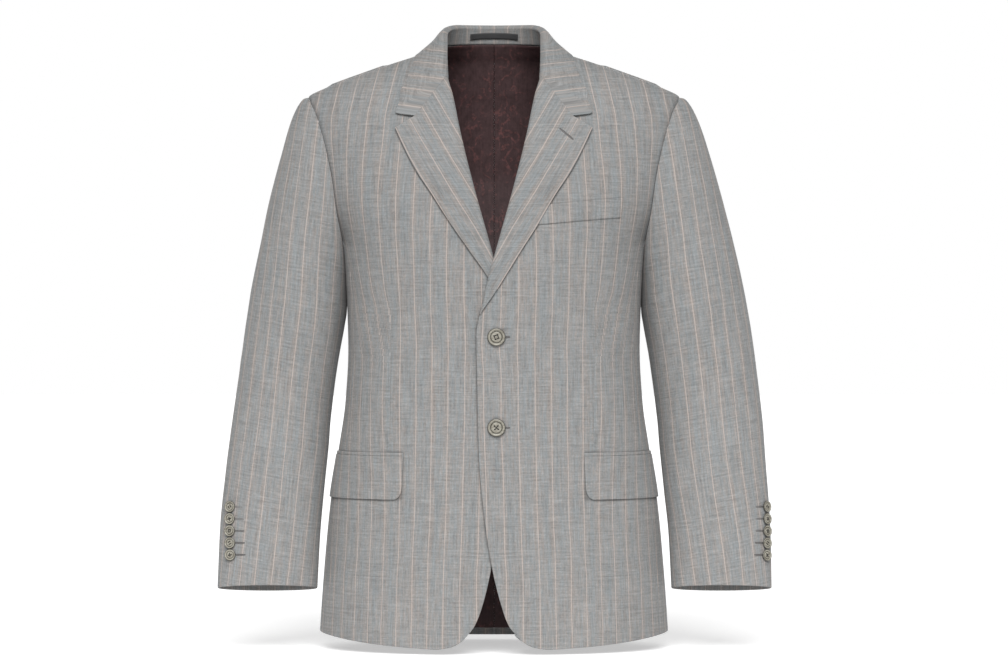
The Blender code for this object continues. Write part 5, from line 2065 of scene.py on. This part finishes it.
for name, sewn, spun in (("top", SQUARE, 0.35), ("bottom", CROSS, 0.1)):
    z = FRONT_BUTTON_HEIGHTS[name]
    seat, facing = front_seat(FRONT_BUTTON_X, z)
    make_button(f"front_button_{name}", FRONT_BUTTON_RADIUS, seat + facing * LAID_ON, facing, 48,
                spun, sewn)
    make_buttonhole(f"front_buttonhole_{name}", (FRONT_HOLE[0], z), (FRONT_HOLE[1], z), 3.0 * MM,
                    front_seat)
make_buttonhole("lapel_buttonhole", *LAPEL_HOLE, 2.8 * MM, lapel_seat)
lowest = SLEEVE.at("out_z", SLEEVE_ROWS) * MM + LOWEST_CUFF_BUTTON
for side, name in ((LEFT, "left"), (RIGHT, "right")):
    def cuff_seat(turn, row, side=side, name=name):
        point, facing = sleeve_seat(turn, row, name)
        return (Vector((point.x * side, point.y, point.z)),
                Vector((facing.x * side, facing.y, facing.z)))

    for i in range(CUFF_BUTTON_COUNT):
        row = sleeve_row_at(lowest + CUFF_BUTTON_PITCH * (CUFF_BUTTON_COUNT - 1 - i))
        turn = CUFF_BUTTON_TURN + CUFF_BUTTON_DRIFT * i + (LEFT_CUFF_TURN if side == LEFT else 0)
        seat, facing = cuff_seat(turn, row)
        facing = (facing + Vector((0.0, CUFF_BUTTON_FORWARD[side], 0.0))).normalized()
        make_button(f"cuff_button_{name}_{i + 1}", CUFF_BUTTON_RADIUS,
                    seat + facing * CUFF_BUTTON_SEAT, facing, 32, 0.5 * i + side, CUFF_SEWN[i])
        make_buttonhole(f"cuff_buttonhole_{name}_{i + 1}", (turn + CUFF_HOLE[0], row),
                        (turn + CUFF_HOLE[1], row), 2.6 * MM, cuff_seat)


# ---- floor, camera and light

FLOOR_LEVEL = -0.7525
FLOOR_GREY = (0.8, 0.8, 0.8, 1.0)
GLOW = (0.5, 0.5, 0.5, 1.0)
WHITE = (1.0, 1.0, 1.0, 1.0)
CAMERA_PLACE = (0.0127, -5.0, -0.358)
PICTURE_WIDTH = 1008
PIXELS_AT_ONE_METRE = 3937
SENSOR = 36


def make_floor():
    """A pale floor just below the hem, bright enough to run into the white behind it."""
    bm = bmesh.new()
    bmesh.ops.create_grid(bm, x_segments=12, y_segments=12, size=1.0)
    for vert in bm.verts:
        vert.co = (vert.co.x * 8.0, vert.co.y * 12.0 + 9.0, FLOOR_LEVEL)
    floor = added("floor", mesh_of("floor", bm))
    paint = Recipe("floor_white", 1.0)
    paint.set("Base Color", FLOOR_GREY)
    seen = paint.node("ShaderNodeLightPath", output=0)
    paint.set("Emission Color", paint.mix(seen, GLOW, WHITE))
    paint.set("Emission Strength", 0.5)
    paint.set("Specular IOR Level", 0.0)
    floor.data.materials.append(paint.made)


def make_sun(name, towards, width, strength):
    """A soft far light shining along a direction; its width is in degrees."""
    lamp = bpy.data.lights.new(name, "SUN")
    lamp.angle = math.radians(width)
    lamp.energy = strength
    added(name, lamp).rotation_euler = Vector(towards).to_track_quat("-Z", "Y").to_euler()


def make_world(strength):
    """Even light from all round; what the camera itself sees is plain white."""
    world = bpy.data.worlds.new("studio")
    bpy.context.scene.world = world
    world.use_nodes = True
    tree = world.node_tree
    around = tree.nodes["Background"]
    seen = tree.nodes.new("ShaderNodeBackground")
    path = tree.nodes.new("ShaderNodeLightPath")
    join = tree.nodes.new("ShaderNodeMixShader")
    around.inputs["Color"].default_value = WHITE
    around.inputs["Strength"].default_value = strength
    seen.inputs["Color"].default_value = WHITE
    tree.links.new(path.outputs["Is Camera Ray"], join.inputs[0])
    tree.links.new(around.outputs[0], join.inputs[1])
    tree.links.new(seen.outputs[0], join.inputs[2])
    tree.links.new(join.outputs[0], tree.nodes["World Output"].inputs["Surface"])


make_floor()
camera = bpy.data.cameras.new("camera")
camera.lens = SENSOR * PIXELS_AT_ONE_METRE / PICTURE_WIDTH
camera.sensor_width = SENSOR
camera.sensor_fit = "HORIZONTAL"
eye = added("camera", camera)
eye.location = CAMERA_PLACE
eye.rotation_euler = (math.pi / 2, 0.0, 0.0)
bpy.context.scene.camera = eye
bpy.context.scene.view_settings.view_transform = "Standard"
make_world(0.2)
make_sun("front_light", (0.0, 1.0, -0.8), 40.0, 3.2)
make_sun("back_light", (0.0, -1.0, -0.2), 30.0, 1.6)
